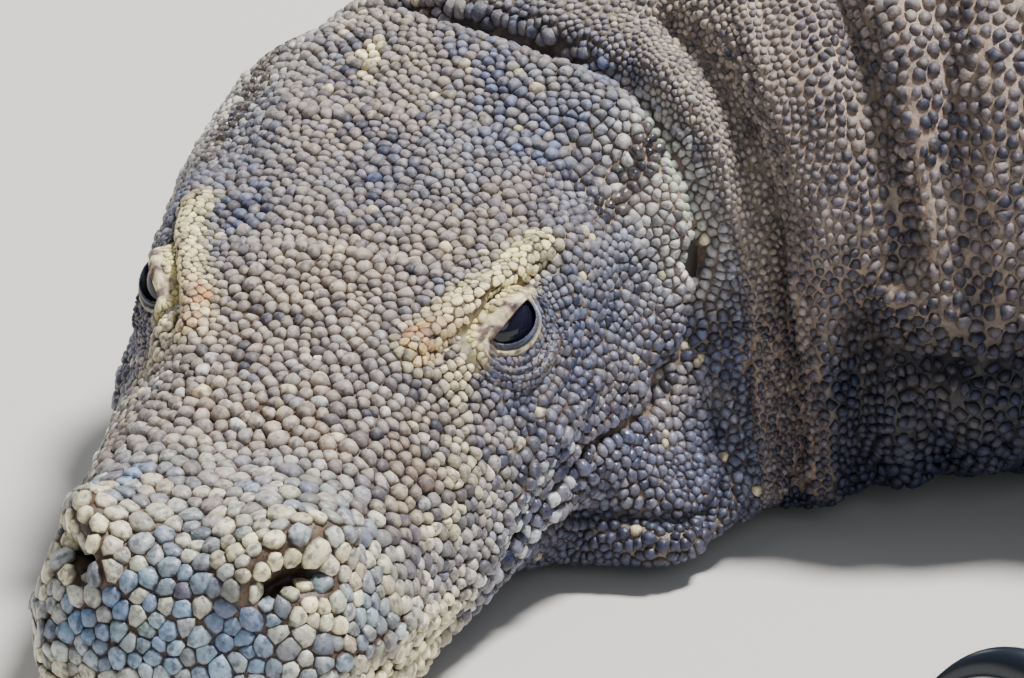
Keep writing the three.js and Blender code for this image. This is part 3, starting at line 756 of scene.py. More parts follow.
# Random points on the head: cells of a grid are drawn with chances of area / size^2
def scatterHead():
    s = np.concatenate([np.linspace(0.02, 6, 40), np.linspace(6.2, headCoat["end"], 500)])
    phi = np.linspace(-math.pi, math.pi, 481)
    p = plainSurface(*np.meshgrid(s, phi, indexing="ij"))
    area = np.linalg.norm(np.cross(p[1:, :-1] - p[:-1, :-1], p[:-1, 1:] - p[:-1, :-1]), axis=-1)
    sm, pm = np.meshgrid((s[1:] + s[:-1]) / 2, (phi[1:] + phi[:-1]) / 2, indexing="ij")
    weight = (area / scaleSize(sm.ravel(), pm.ravel()).reshape(area.shape) ** 2).ravel()
    pick = rng.choice(len(weight), headCoat["candidates"], p=weight / weight.sum())
    i, j = np.unravel_index(pick, area.shape)
    a, b = rng.random((2, len(pick)))
    return s[i] + (s[i + 1] - s[i]) * a, phi[j] + (phi[j + 1] - phi[j]) * b


# Distance to the line of the mouth, far off for points behind it
def nearMouth(s, phi):
    d = np.full(len(s), 99.0)
    near = s < 165
    d[near] = distanceTo(headPoint(s[near], phi[near]), mouthPath)
    return d


# Each point closer to a neighbour than their mean size moves a third of the lack away from it,
# along the surface: the push is turned into steps of s and phi by the surface's own steps
def pushApart(s, phi, vary, fixed, rounds):
    for _ in range(rounds):
        p = plainSurface(s, phi)
        size = scaleSize(s, phi) * vary
        near = neighbours(p, 7)
        away = p[:, None] - p[near]
        gap = np.linalg.norm(away, axis=-1, keepdims=True)
        want = (0.5 * (size[:, None] + size[near]))[..., None] * headCoat["gap"]
        push = (away / np.maximum(gap, 0.1) * np.maximum(want - gap, 0)).sum(1) * headCoat["push"]
        push[fixed] = 0
        ds = plainSurface(s + 0.3, phi) - p
        dp = plainSurface(s, phi + 0.01) - p
        s = np.clip(s + 0.3 * (push * ds).sum(1) / np.maximum((ds * ds).sum(1), 1e-4), 0.02, headCoat["end"])
        phi = phi + 0.01 * (push * dp).sum(1) / np.maximum((dp * dp).sum(1), 1e-4)
    return s, phi


# Places of the head's scales; those along the lips and in rings round the eye come first and stay
def headScales():
    s, phi = scatterHead()
    vary = np.exp(rng.normal(0, scaleSizes["spread"], len(s)))
    size = scaleSize(s, phi) * vary
    mouth = nearMouth(s, phi)
    q = headPoint(s, phi)
    fromEye = np.linalg.norm(q - eyeSkin, axis=-1)
    turns = (fromEye - headCoat["eyeRingFirst"]) / headCoat["eyeRingPitch"]
    onRing = np.abs(turns - np.round(turns)) < headCoat["eyeRingHalf"]
    first = np.abs(mouth - headCoat["lipRow"]) < headCoat["lipRowHalf"]
    first |= (fromEye < headCoat["eyeRingEnd"]) & onRing
    keep = (mouth > headCoat["mouthGap"]) & (distanceTo(q, nostrilPath) > headCoat["nostrilGap"])
    keep &= np.linalg.norm(q - earSkin, axis=-1) > headCoat["earGap"]
    order = np.argsort(np.where(first, 0, 1) + rng.random(len(s)) * 0.9)
    order = order[keep[order]]
    chosen = thinned(plainSurface(s, phi), size * headCoat["spacing"], order)
    s, phi, vary = s[chosen], phi[chosen], vary[chosen]
    s, phi = pushApart(s, phi, vary, first[chosen], headCoat["rounds"])
    return s, phi, scaleSize(s, phi) * vary


rowCoat = {"anchor": 330, "start": 206, "row": 0.84, "jitter": 0.10, "spacing": 0.66}


# Neck, trunk and tail: rows round the body, each a fixed distance from the last along the skin.
# T(s, phi) sums length over row spacing; row k lies where T = k; along it scales stand one size apart.
def rowScales():
    s = np.concatenate([np.arange(rowCoat["start"], 520, 2.0), np.arange(520, body["length"], 5.0)])
    phi = np.linspace(-math.pi, math.pi, 361)
    p = skinSurface(*np.meshgrid(s, phi, indexing="ij"))
    step = np.linalg.norm(np.diff(p, axis=0), axis=-1)
    middle, angle = np.meshgrid((s[1:] + s[:-1]) / 2, phi, indexing="ij")
    size = scaleSize(middle.ravel(), angle.ravel()).reshape(middle.shape)
    total = np.concatenate([np.zeros((1, len(phi))), np.cumsum(step / (size * rowCoat["row"]), axis=0)])
    total -= total[np.searchsorted(s, rowCoat["anchor"])]
    found = []
    for k in range(int(total.min()), int(total.max()) + 1):
        rowS = np.array([np.interp(k, total[:, j], s, left=-1, right=-1) for j in range(len(phi))])
        inside = rowS > 0
        if inside.sum() < 3:
            continue
        rowS = np.where(inside, rowS, rowCoat["start"])
        q = skinSurface(rowS, phi)
        rowSize = scaleSize(rowS, phi)
        along = np.concatenate([[0], np.cumsum(np.linalg.norm(np.diff(q, axis=0), axis=1)
                                               / (rowSize[1:] + rowSize[:-1]) * 2)])
        count = max(int(along[-1]), 3)
        at = (np.arange(count) + 0.5 * (k % 2)) * along[-1] / count
        rowPhi = np.interp(at, along, phi)
        found.append(np.stack([np.interp(at, along, rowS), rowPhi, np.interp(at, along, inside) > 0.99], -1))
    found = np.concatenate(found)
    found = found[found[:, 2] > 0.5]
    s, phi = found[:, 0], found[:, 1]
    size = scaleSize(s, phi)
    p = plainSurface(s, phi)
    ds = np.linalg.norm(plainSurface(s + 1, phi) - p, axis=1)
    dp = np.linalg.norm(plainSurface(s, phi + 0.02) - p, axis=1) / 0.02
    s = s + rng.normal(0, rowCoat["jitter"], len(s)) * size / np.maximum(ds, 0.2)
    phi = phi + rng.normal(0, rowCoat["jitter"], len(s)) * size / np.maximum(dp, 2)
    s = np.clip(s, rowCoat["start"], body["length"] - 1)
    order = rng.permutation(len(s))
    chosen = thinned(skinSurface(s, phi), size * rowCoat["spacing"], order)
    return s[chosen], phi[chosen], size[chosen]


legCoat = {"row": 0.86, "limbShare": 0.6, "palm": 1500, "digit": 700, "around": 48, "spacing": 0.78,
           "footFrom": 0.35, "footOver": 0.3, "high": 0.36, "gloss": 0.25}


# Scales of a leg: rows round the limb, and points scattered over the palm and digits, each a mean
# of the four ring points round it. Columns of a place: the point, how far down the leg it is from 0
# to about 1, share of a turn
def legScales(leg):
    size = scaleSizes["limb"]
    shares = np.linspace(0.05, 1, 200)
    middle = limbRings(leg, shares, 8).mean(1)
    along = np.concatenate([[0], np.cumsum(np.linalg.norm(np.diff(middle, axis=0), axis=1))])
    along = along / (size * legCoat["row"])
    rows = np.interp(np.arange(int(along[-1])), along, shares)
    fine = limbRings(leg, rows, 240)
    places = []
    for k, ring in enumerate(fine):
        length = np.concatenate([[0], np.cumsum(np.linalg.norm(np.diff(ring, axis=0), axis=1))])
        count = int(length[-1] / size)
        at = (np.arange(count) + 0.5 * (k % 2)) * length[-1] / count
        places.append(np.stack([np.interp(at, length, ring[:, c]) for c in range(3)]
                               + [np.full(count, rows[k] * legCoat["limbShare"]), at / length[-1]], -1))
    around = legCoat["around"]
    tubes = [palmRings(leg, around)]
    tubes += [digitRings(leg, toe, around) for toe in leg["toes"]]
    for m, rings in enumerate(tubes):
        t = rng.random(legCoat["digit"] if m else legCoat["palm"]) * (len(rings) - 1.001)
        a = rng.random(len(t)) * around
        i, j = t.astype(int), a.astype(int)
        f, g = (t - i)[:, None], (a - j)[:, None]
        here, beside = j % around, (j + 1) % around
        p = ((rings[i, here] * (1 - f) + rings[i + 1, here] * f) * (1 - g)
             + (rings[i, beside] * (1 - f) + rings[i + 1, beside] * f) * g)
        places.append(np.column_stack([p, 0.62 + 0.06 * m + 0.05 * t / len(rings), a / around]))
    places = np.concatenate(places)
    onFoot = places[:, 3] > legCoat["limbShare"]
    sizes = np.where(onFoot, scaleSizes["digit"], size)
    order = np.argsort(onFoot + rng.random(len(onFoot)) * 0.9)
    chosen = thinned(places[:, :3], sizes * legCoat["spacing"], order)
    return places[chosen], sizes[chosen]


# Puts points onto the skin and reads its outward direction there; far ones are dropped
def ontoSkin(points, reach):
    hits = [skinTree.find_nearest(Vector(p), reach) for p in points]
    kept = np.array([h[0] is not None for h in hits])
    at = np.array([h[0] for h in hits if h[0] is not None])
    normal = np.array([h[1] for h in hits if h[0] is not None])
    return at, normal, kept


headS, headPhi, headSize = headScales()
rowS, rowPhi, rowSize = rowScales()
print("scatter", len(headS), len(rowS))


# Colours are given as sRGB and worked with as linear light: ((c + 0.055) / 1.055)^2.4
def linear(*rgb):
    c = np.array(rgb) / 255
    return np.where(c < 0.04045, c / 12.92, ((c + 0.055) / 1.055) ** 2.4)


paint = {
    "dome": (118, 119, 128), "domeBlue": (80, 94, 130), "domeTan": (170, 150, 122),
    # the near-black crevice colour is painted shade for the skin between scales and in grooves
    "creviceShade": (40, 36, 38), "dust": (176, 160, 142), "cream": (250, 232, 184),
    "yellow": (246, 230, 152), "orange": (176, 124, 76), "navy": (38, 42, 66), "black": (18, 20, 36),
    "snout": (118, 148, 182), "snoutGreen": (158, 172, 146), "snoutCream": (240, 228, 186),
    "brown": (78, 60, 54), "white": (218, 222, 224), "cheek": (86, 93, 120), "bulge": (198, 196, 188),
    "bead": (64, 62, 78), "beadDark": (40, 42, 58), "beadPale": (164, 150, 142), "net": (190, 164, 146),
    "trunk": (84, 78, 74), "trunkPale": (128, 116, 102), "belly": (108, 98, 86), "foot": (44, 50, 68),
    # the darkest bead and net colours are painted shade for the low neck
    "throat": (44, 48, 70), "lowBeadShade": (14, 22, 50), "netLowShade": (14, 17, 34), "rib": (120, 108, 96),
    # the nostril colour is its brown lining darkened as painted shade of the opening
    "pink": (196, 164, 146), "mud": (112, 84, 62), "nostrilLiningAndShade": (44, 30, 24),
}
paint = {name: linear(*rgb) for name, rgb in paint.items()}


# a (1 - k) + b k for each row, k held between 0 and 1
def mixed(a, b, k):
    k = np.clip(k, 0, 1)[:, None]
    return a * (1 - k) + b * k


# Colours laid over one another from first to last: a base, then (colour, share) for each; a colour
# is a name or rows
def layered(base, *layers):
    result = paint[base]
    for colour, share in layers:
        result = mixed(result, paint[colour] if isinstance(colour, str) else colour, share)
    return result


# exp(-(d / width)^power) of the distance d from a line of nodes on the head
def nearPath(q, nodes, width, power=2):
    return np.exp(-(distanceTo(q, headPath(nodes)) / width) ** power)


# The markings: for each point a scale colour, a colour for the skin between scales, and wetness.
# Masks are bells and ramps of distance back, angle and distance from the lines; dice are per scale.
def markings(p, s, phi, seed=5):
    gen = np.random.default_rng(seed)
    count = len(s)
    dice, tone, rare = gen.random((3, count))
    deg = foldedAngle(phi)
    slow, mid, fine = waves(p, 60, 21), waves(p, 22, 22), waves(p, 9, 23)
    # neck and trunk: painted shade on the low neck and under the throat, painted light behind the jaw, lone
    # navy scales, brown from the shoulder
    top = ease((deg - 25) / 40)
    # under: the low neck and the underside behind the throat, whose beads and skin are painted dark as shade
    under = np.maximum(ease((8 - deg) / 14) * ease((s - 256) / 14),
                       ease((-30 - deg) / 20) * ease((s - 205) / 40))
    # behind the jaw, in the shade of the jaw's bulge, beads and skin are painted paler: painted light
    paintedLightBehindJaw = smoothBell(s, 228, 24) * ease((deg - 2) / 16)
    lone = smoothBell(s, 238, 16) * ease((deg - 14) / 14) * (rare > 0.74)
    behind = ease((s - 430) / 160)
    trunk = layered("trunk", ("trunkPale", 0.3 + 0.5 * slow + 0.4 * (tone - 0.5)),
                    ("belly", ease((-deg - 30) / 30)))
    scale = layered("bead", ("beadPale", 0.22 + 0.45 * top + 0.4 * mid),
                    ("beadDark", ease((dice - 0.35) / 0.3) * (0.9 - 0.4 * top)), ("lowBeadShade", under * 0.95),
                    ("beadPale", paintedLightBehindJaw * (1 + 0.5 * (tone - 0.5))), ("navy", lone * 0.9), (trunk, behind))
    # the skin between scales: net colour, painted shade low on the neck, painted light behind the jaw, and
    # painted crevice shade from the shoulder back
    skinTone = layered("net", ("netLowShade", under), ("rib", 0.4 * mid * (1 - under)), ("dust", paintedLightBehindJaw),
                       ("creviceShade", behind * 0.8))
    h = np.flatnonzero(s < 232)
    q, sh, dg = headPoint(s[h], phi[h]), s[h], deg[h]
    d1, d2, d3, n1, n2, n3 = dice[h], tone[h], rare[h], slow[h], mid[h], fine[h]
    fromEye = np.linalg.norm(q - eyeSkin, axis=-1)
    fromNostril = np.linalg.norm(q - nostrilSkin, axis=-1)
    toMouth = distanceTo(q, mouthPath)
    # dust between the brows and in the hollow of the snout
    hollow = smoothBell(sh, 60, 24) * ease((dg - 45) / 25)
    hollow = hollow + smoothBell(sh, 104, 26) * ease((dg - 66) / 14) * 0.7
    # cheek, behind the eye, the bulge of the jaw and its front edge
    side = ease((42 - dg) / 22) * ease((sh - 82) / 22)
    temple = smoothBell(sh, 150, 20) * smoothBell(dg, 48, 16)
    bulge = smoothBell(sh, 186, 21) * ease((dg - 6) / 14) * ease((66 - dg) / 16)
    jawEdge = nearPath(q, [(196, 50), (192, 40), (188, 30)], 5)
    # snout: pale plates, cream round the nostril
    snout = ease((58 - sh) / 22)
    low = ease((16 - q[:, 0]) / 8) * ease((46 - q[:, 2]) / 14)
    between = smoothBell(sh, 34, 13) * ease((dg - 62) / 14)
    hood = np.exp(-((fromNostril - 6) / 11) ** 2) * ease((q[:, 0] - 8) / 9)
    plate = layered("snout", ("snoutGreen", 0.4 + 0.6 * n2 + 0.5 * (d2 - 0.5)),
                    ("domeBlue", ease((d1 - 0.5) / 0.2) * 0.75), ("navy", (d3 > 0.94) * 0.7),
                    ("snoutCream", ease((d2 - 0.68) / 0.2) * 0.55),
                    ("mud", ease((n3 - 0.25) / 0.25) * (dg < 60) * 0.55), ("snout", low * 0.6),
                    ("dust", between * (0.55 + 0.4 * n3)), ("brown", ease((0.12 - d3) / 0.1) * 0.5))
    # lips: cream below and in front, white, blue and navy along the side
    lips = np.exp(-(toMouth / 10) ** 4)
    front = ease((95 - sh) / 35)
    flank = smoothBell(sh, 70, 24) * smoothBell(dg, 22, 22)
    muddy = smoothBell(sh, 66, 20) * smoothBell(dg, 38, 16) * ease((n2 - 0.02) / 0.3)
    rear = lips * (1 - front) * ease((160 - sh) / 12)
    white = rear * ((d1 > 0.42) & (d1 < 0.8)) * ease((126 - sh) / 10) * ease((dg + 22) / 6)
    # under the jaw, with painted shade, the brow, round the eye and in front of it
    jaw = ease((-dg - 16) / 14) * ease((sh - 90) / 30)
    brow = np.clip(nearPath(q, lines["browCrest"][2], 4.8, 3) * (1.15 + 0.5 * n3), 0, 1)
    creamy = layered("cream", ("yellow", 0.5 + 0.7 * n2))
    rim = np.exp(-((fromEye - 17) / 5) ** 2) * ease((44 - dg) / 10)
    corner = nearPath(q, [(94, 44), (100, 50), (104, 53)], 5)
    # a cream patch on the crown, a wet dark streak behind the brow
    crown = nearPath(q, [(186, 103), (182, 101), (178, 99)], 3.0, 4)
    crown *= (np.cos(phi[h]) < 0.1)
    wet = nearPath(q, [(160, 46), (178, 48), (194, 49)], 4.6, 4) * (d1 < 0.8)
    c = layered(
        "dome", ("domeBlue", 0.45 + 0.5 * n2 + 0.5 * (d1 - 0.5)),
        ("domeTan", 0.25 + 0.5 * n1 + 0.5 * (d2 - 0.5)), ("dust", hollow * (0.78 + 0.4 * n3)),
        ("white", ease((d2 - 0.76) / 0.15) * ease((120 - sh) / 50) * 0.5),
        ("brown", ease((0.2 - d2) / 0.15) * ease((120 - sh) / 50) * 0.35),
        ("cheek", side * (0.72 + 0.4 * n2)), ("navy", side * ease((d1 - 0.66) / 0.15) * 0.8),
        ("white", side * (d3 > 0.95) * 0.7 * (toMouth < 22) * (sh < 120)), ("domeBlue", temple * 0.5),
        ("navy", temple * (d1 > 0.62) * 0.7), ("bulge", bulge * (0.85 + 0.3 * n3)),
        ("snoutGreen", jawEdge * (0.5 + 0.4 * n3)), (plate, snout * 0.95),
        ("snoutCream", hood * (0.75 + 0.5 * n3 + 0.4 * (d2 - 0.5))),
        ("snoutCream", lips * front * (0.9 + 0.5 * (d2 - 0.5))),
        ("snoutCream", flank * ease((d1 - 0.3) / 0.4) * 0.75), ("navy", flank * (d3 > 0.86) * 0.6),
        ("mud", muddy * 0.6), ("cheek", rear * 0.5), ("white", white * 0.8),
        ("navy", rear * (d1 > 0.8) * 0.9), ("navy", lips * front * (d1 > 0.9) * 0.75),
        # under the jaw the scales take a dark navy, partly their own colour and partly painted shade
        ("throat", jaw * 0.8), (creamy, brow * 0.95),
        ("orange", brow * smoothBell(sh, 97, 8) * (0.9 + 0.5 * n3)),
        ("snoutGreen", brow * (d1 > 0.75) * 0.35),
        ("brown", brow * (d3 > 0.9) * 0.55), ("cheek", rim * 0.6), ("cream", corner * (0.6 + 0.7 * n3)),
        ("cream", crown * (0.9 + 0.5 * n3)),
        ("navy", (d3 < 0.03 + 0.20 * ease(2.2 * n2 - 0.3)) * 0.8 * (1 - brow) * (sh > 60)),
        ("cream", (d3 > 0.985) * 0.6 * (sh > 60)), ("black", wet * 0.95))
    # the skin between the head's scales: painted crevice shade under its own brown, mud and net
    k = layered("creviceShade", ("brown", 0.5 + 0.6 * n2), ("mud", hollow), ("net", side * (0.45 + 0.4 * n3)),
                ("net", temple * 0.7), ("net", bulge * 0.9), ("mud", snout * 0.9),
                # inside the nostril: brown lining with painted shade
                ("nostrilLiningAndShade", np.exp(-(distanceTo(q, nostrilPath) / 4.2) ** 4)), ("rib", jaw * 0.7),
                ("brown", brow * 0.9))
    blend = ease((226 - sh) / 24)
    scale[h] = mixed(scale[h], c, blend)
    skinTone[h] = mixed(skinTone[h], k, blend)
    gloss = np.zeros(count)
    gloss[h] = wet + 0.35 * rear + 0.25 * lips + 0.4 * snout * (1 - hollow) + 0.3 * side
    bright = 1 + 0.6 * (gen.random(count) - 0.5) + 0.10 * fine
    return scale * bright[:, None], skinTone, gloss


# A dome per scale: rings of its own outline. Columns: share of the outline, share of the height;
# a height below 0 is a depth in mm under the skin
domes = {
    "head": {"sides": 10, "rings": [[1.0, -0.42], [0.90, 0.40], [0.58, 0.86]], "shrink": 1.03, "limit": 0.88},
    "bead": {"sides": 7, "rings": [[1.0, -0.40], [0.86, 0.52], [0.5, 0.92]], "shrink": 0.92, "limit": 0.70},
    "plain": {"sides": 6, "rings": [[1.0, -0.40], [0.72, 0.66]], "shrink": 0.98, "limit": 0.78},
}
domeForm = {"lean": 0.07, "lowest": 0.85, "highest": 1.15, "plateau": 0.55}
# Painted light on each dome: its root darkened as crevice shade, its flanks a little darker and its top
# lighter as highlight with dust
domeTintWithPaintedLight = {"root": 0.66, "rampOver": 0.66, "side": 0.80, "top": 0.34}   # brightness from root to top
bakePatch = 0.003                           # width of a scale's patch on the bake map


# Outlines from the neighbours: towards an angle the reach is the soft least, a mean of power -12, of
# share * distance^2 / (direction . neighbour), so cells meet halfway and their corners are round
def outlines(points, normals, size, form, gen):
    sides = form["sides"]
    near = neighbours(points, 9)
    flatX = unit(np.cross(normals, np.where(np.abs(normals[:, 2:]) > 0.9, [[1.0, 0, 0]], [[0, 0, 1.0]])))
    flatY = np.cross(normals, flatX)
    turn = gen.random(len(points))[:, None] * 2 * math.pi
    angle = turn + np.arange(sides)[None] / sides * 2 * math.pi
    to = points[near] - points[:, None]
    x = (to * flatX[:, None]).sum(-1)
    y = (to * flatY[:, None]).sum(-1)
    share = size[:, None] / (size[:, None] + size[near])
    dot = x[:, None] * np.cos(angle)[..., None] + y[:, None] * np.sin(angle)[..., None]
    square = (x * x + y * y)[:, None]
    reach = np.where(dot > 0.05, share[:, None] * square / np.maximum(dot, 0.05), 1e3)
    soft = (np.minimum(reach, 1e3) ** -12.0).sum(-1) ** (-1 / 12)
    return flatX, flatY, angle, np.minimum(soft * form["shrink"], form["limit"] * size[:, None])


# One mesh of domes: point + x across + y along + z out for each ring, a little leaning, with its
# tint and bake map; g holds the scales' own values
def coatPiece(name, form, g, uv, seed):
    gen = np.random.default_rng(seed)
    form = domes[form]
    points, normals, size = g["p"], g["normal"], g["size"]
    flatX, flatY, angle, reach = outlines(points, normals, size, form, gen)
    sides, rings = form["sides"], form["rings"]
    count, each = len(points), sides * len(rings) + 1
    tall = reach.mean(1) * g["height"] * gen.uniform(domeForm["lowest"], domeForm["highest"], count)
    lean = gen.normal(0, domeForm["lean"], (count, 2)) * size[:, None]
    verts = np.empty((count, each, 3))
    local = np.empty((count, each, 2))
    level = np.empty(each)
    outward = normals[:, None]
    for r, (share, up) in enumerate(rings):
        share = (share + (1 - share) * domeForm["plateau"] * g["flat"] * (up > 0))[:, None]
        x = reach * np.cos(angle) * share + lean[:, :1] * max(up, 0)
        y = reach * np.sin(angle) * share + lean[:, 1:] * max(up, 0)
        z = np.broadcast_to((np.full(count, up) if up < 0 else tall * up)[:, None], x.shape)
        ring = slice(r * sides, (r + 1) * sides)
        verts[:, ring] = (points[:, None] + x[..., None] * flatX[:, None]
                          + y[..., None] * flatY[:, None] + z[..., None] * outward)
        local[:, ring] = np.stack([x, y], -1)
        level[ring] = max(up, 0)
    verts[:, -1] = points + lean[:, :1] * flatX + lean[:, 1:] * flatY + tall[:, None] * normals
    local[:, -1], level[-1] = lean, 1
    verts = np.clip(verts, boxLow, boxHigh)
    j, nxt = np.arange(sides), (np.arange(sides) + 1) % sides
    faces = [np.stack([np.zeros(sides - 2, int), j[2:], j[1:-1]], -1)]
    for r in range(len(rings) - 1):
        a, b = r * sides + j, r * sides + nxt
        faces += [np.stack([a, b, b + sides], -1), np.stack([a, b + sides, a + sides], -1)]
    base = (len(rings) - 1) * sides
    faces.append(np.stack([base + j, base + nxt, np.full(sides, each - 1)], -1))
    faces = np.concatenate(faces)
    corners = (faces[None] + (np.arange(count) * each)[:, None, None]).reshape(-1)
    mesh = bpy.data.meshes.new(name)
    mesh.vertices.add(count * each)
    mesh.vertices.foreach_set("co", (verts * mm).astype(np.float32).ravel())
    total = len(corners) // 3
    mesh.loops.add(len(corners))
    mesh.loops.foreach_set("vertex_index", corners.astype(np.int32))
    mesh.polygons.add(total)
    mesh.polygons.foreach_set("loop_start", np.arange(0, len(corners), 3, dtype=np.int32))
    mesh.polygons.foreach_set("use_smooth", np.ones(total, bool))
    mesh.update(calc_edges=True)
    # colour: the skin's at the root, darkened there as painted crevice shade, the scale's own on top, painted
    # lighter towards the top as highlight with dust; alpha holds the gloss
    k = ease((level + 0.04) / domeTintWithPaintedLight["rampOver"])[None, :, None]
    paintedDomeLight = (domeTintWithPaintedLight["side"] + domeTintWithPaintedLight["top"] * level)[None, :, None]
    colour = np.empty((count, each, 4), np.float32)
    colour[..., :3] = g["under"][:, None] * (1 - k) * domeTintWithPaintedLight["root"] + g["tint"][:, None] * k * paintedDomeLight
    colour[..., 3] = g["gloss"][:, None]
    tint = mesh.attributes.new("tint", "FLOAT_COLOR", "POINT")
    tint.data.foreach_set("color", colour.ravel())
    patch = uv[:, None] + local / (2 * size[:, None, None]) * bakePatch
    bake = mesh.uv_layers.new(name="OFBake")
    bake.data.foreach_set("uv", patch.reshape(-1, 2)[corners].astype(np.float32).ravel())
    mesh.materials.append(hideCoat)
    piece = bpy.data.objects.new(name, mesh)
    bpy.context.scene.collection.objects.link(piece)
    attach(piece, "root")
    return piece, total


# Eyes and lids. In the eye's frame x runs back along the head, y up and z out of the eye.
lid = {
    "opening": {"half": 5.9, "up": 1.5, "down": 4.1, "roundUp": 2.2, "roundDown": 2.0, "tilt": 14,
                "middle": (-1.5, 0.2)},
    "outer": {"front": 16.0, "back": 13.0, "up": 7.6, "down": 16.0},
    "rows": 46, "around": 120, "under": 8, "thick": 1.1, "clear": 0.25, "merge": 0.6,
    "upperRoll": 1.7, "upperHollow": 1.4, "folds": 36, "foldHigh": 0.5, "corner": 0.8,
    "rims": [(0.2, 0.05, 0.04), (-0.35, 0.115, 0.025), (0.5, 0.19, 0.06), (-0.5, 0.29, 0.03)],
    "grain": 1.5, "grainFrom": 0.27, "grains": 6500, "grainTint": 1.12, "grainHigh": 0.40,
}
eyeFacing = {"out": 0.78, "up": 0.46, "back": -0.42}


# The middle of the eyeball and the three directions of its frame
def eyeFrame(side):
    a = math.radians(body["headAzimuth"])
    back, leftward = np.array([math.cos(a), math.sin(a), 0]), np.array([math.sin(a), -math.cos(a), 0])
    low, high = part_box(f"eye_{sideName[side]}")
    centre = (np.array(low) + np.array(high)) / 2 / mm
    upward = np.array([0, 0, eyeFacing["up"]])
    out = unit(eyeFacing["out"] * side * leftward + upward + eyeFacing["back"] * back)
    x = unit(back - out * (back @ out))
    return centre, x, np.cross(out, x) * side, out


# Plan of the lids: a tilted superellipse for the opening at q = 0, an ellipse for the outer edge
# at q = 1, straight lines between them
def lidPlane(theta, q):
    o, w = lid["opening"], lid["outer"]
    c, u = np.cos(theta), np.sin(theta)
    power = 2 / np.where(u > 0, o["roundUp"], o["roundDown"])
    x0 = o["half"] * np.sign(c) * np.abs(c) ** power
    y0 = np.where(u > 0, o["up"], o["down"]) * np.sign(u) * np.abs(u) ** power
    tilt = math.radians(o["tilt"])
    x0, y0 = (x0 * math.cos(tilt) - y0 * math.sin(tilt) + o["middle"][0],
              x0 * math.sin(tilt) + y0 * math.cos(tilt) + o["middle"][1])
    ct, ut = np.cos(theta + tilt), np.sin(theta + tilt)
    x1 = np.where(ct > 0, w["back"], w["front"]) * ct
    y1 = np.where(ut > 0, w["up"], w["down"]) * ut
    return x0 * (1 - q) + x1 * q, y0 * (1 - q) + y1 * q


# Height over the lid: the ball's at the opening, the skin's at the outer edge, an easing between,
# with a thick roll above and a rim, a groove and fine folds below
def lidSurface(side, theta, q):
    centre, ex, ey, out = eyeFrame(side)
    edgeX, edgeY = lidPlane(theta, np.zeros_like(theta))
    ball = np.sqrt(np.maximum(eye["radius"] ** 2 - edgeX ** 2 - edgeY ** 2, 1)) + lid["clear"]
    x, y = lidPlane(theta, q)
    starts = (centre + x[..., None] * ex + y[..., None] * ey + out * 60).reshape(-1, 3)
    hits = [skinTree.ray_cast(Vector(start), Vector(-out), 120) for start in starts]
    skinHeight = np.array([60 - hit[3] if hit[0] is not None else 6 for hit in hits]).reshape(theta.shape)
    skinHeight = skinHeight + 0.35 - 0.8 * ease((q - 0.85) / 0.15)
    upper = ease(0.5 + 1.6 * np.sin(theta))
    e = ease(q / lid["merge"])
    h = ball * (1 - e) + skinHeight * e
    # over the ball the lid keeps clear of it: (h^6 + b^6)^(1/6), b the ball's height and a skin more
    over = np.sqrt(np.maximum(eye["radius"] ** 2 - x ** 2 - y ** 2, 0.01))
    over = over + lid["clear"] + 0.3 * ease(q / 0.1)
    h = (np.maximum(h, 0.1) ** 6 + over ** 6) ** (1 / 6) * (1 - 0.02 * (1 - ease(q / 0.1)))
    roll = lid["upperRoll"] * smoothBell(q, 0.34, 0.24) * upper * ease(q / 0.08)
    roll -= lid["upperHollow"] * smoothBell(q, 0.84, 0.10) * upper
    # rims and grooves of the lower lid as height, place and width
    rim = sum(high * smoothBell(q, at, wide) for high, at, wide in lid["rims"]) * (1 - upper)
    wrinkle = 1 + np.sin(q * lid["folds"] + 0.9 * np.sin(theta * 2))
    folds = lid["foldHigh"] * wrinkle * smoothBell(q, 0.60, 0.24) * (1 - upper)
    corner = -lid["corner"] * smoothBell(np.abs(np.cos(theta)), 1, 0.16) * smoothBell(q, 0.22, 0.18)
    h = h + roll + rim + folds + corner
    return centre + x[..., None] * ex + y[..., None] * ey + h[..., None] * out


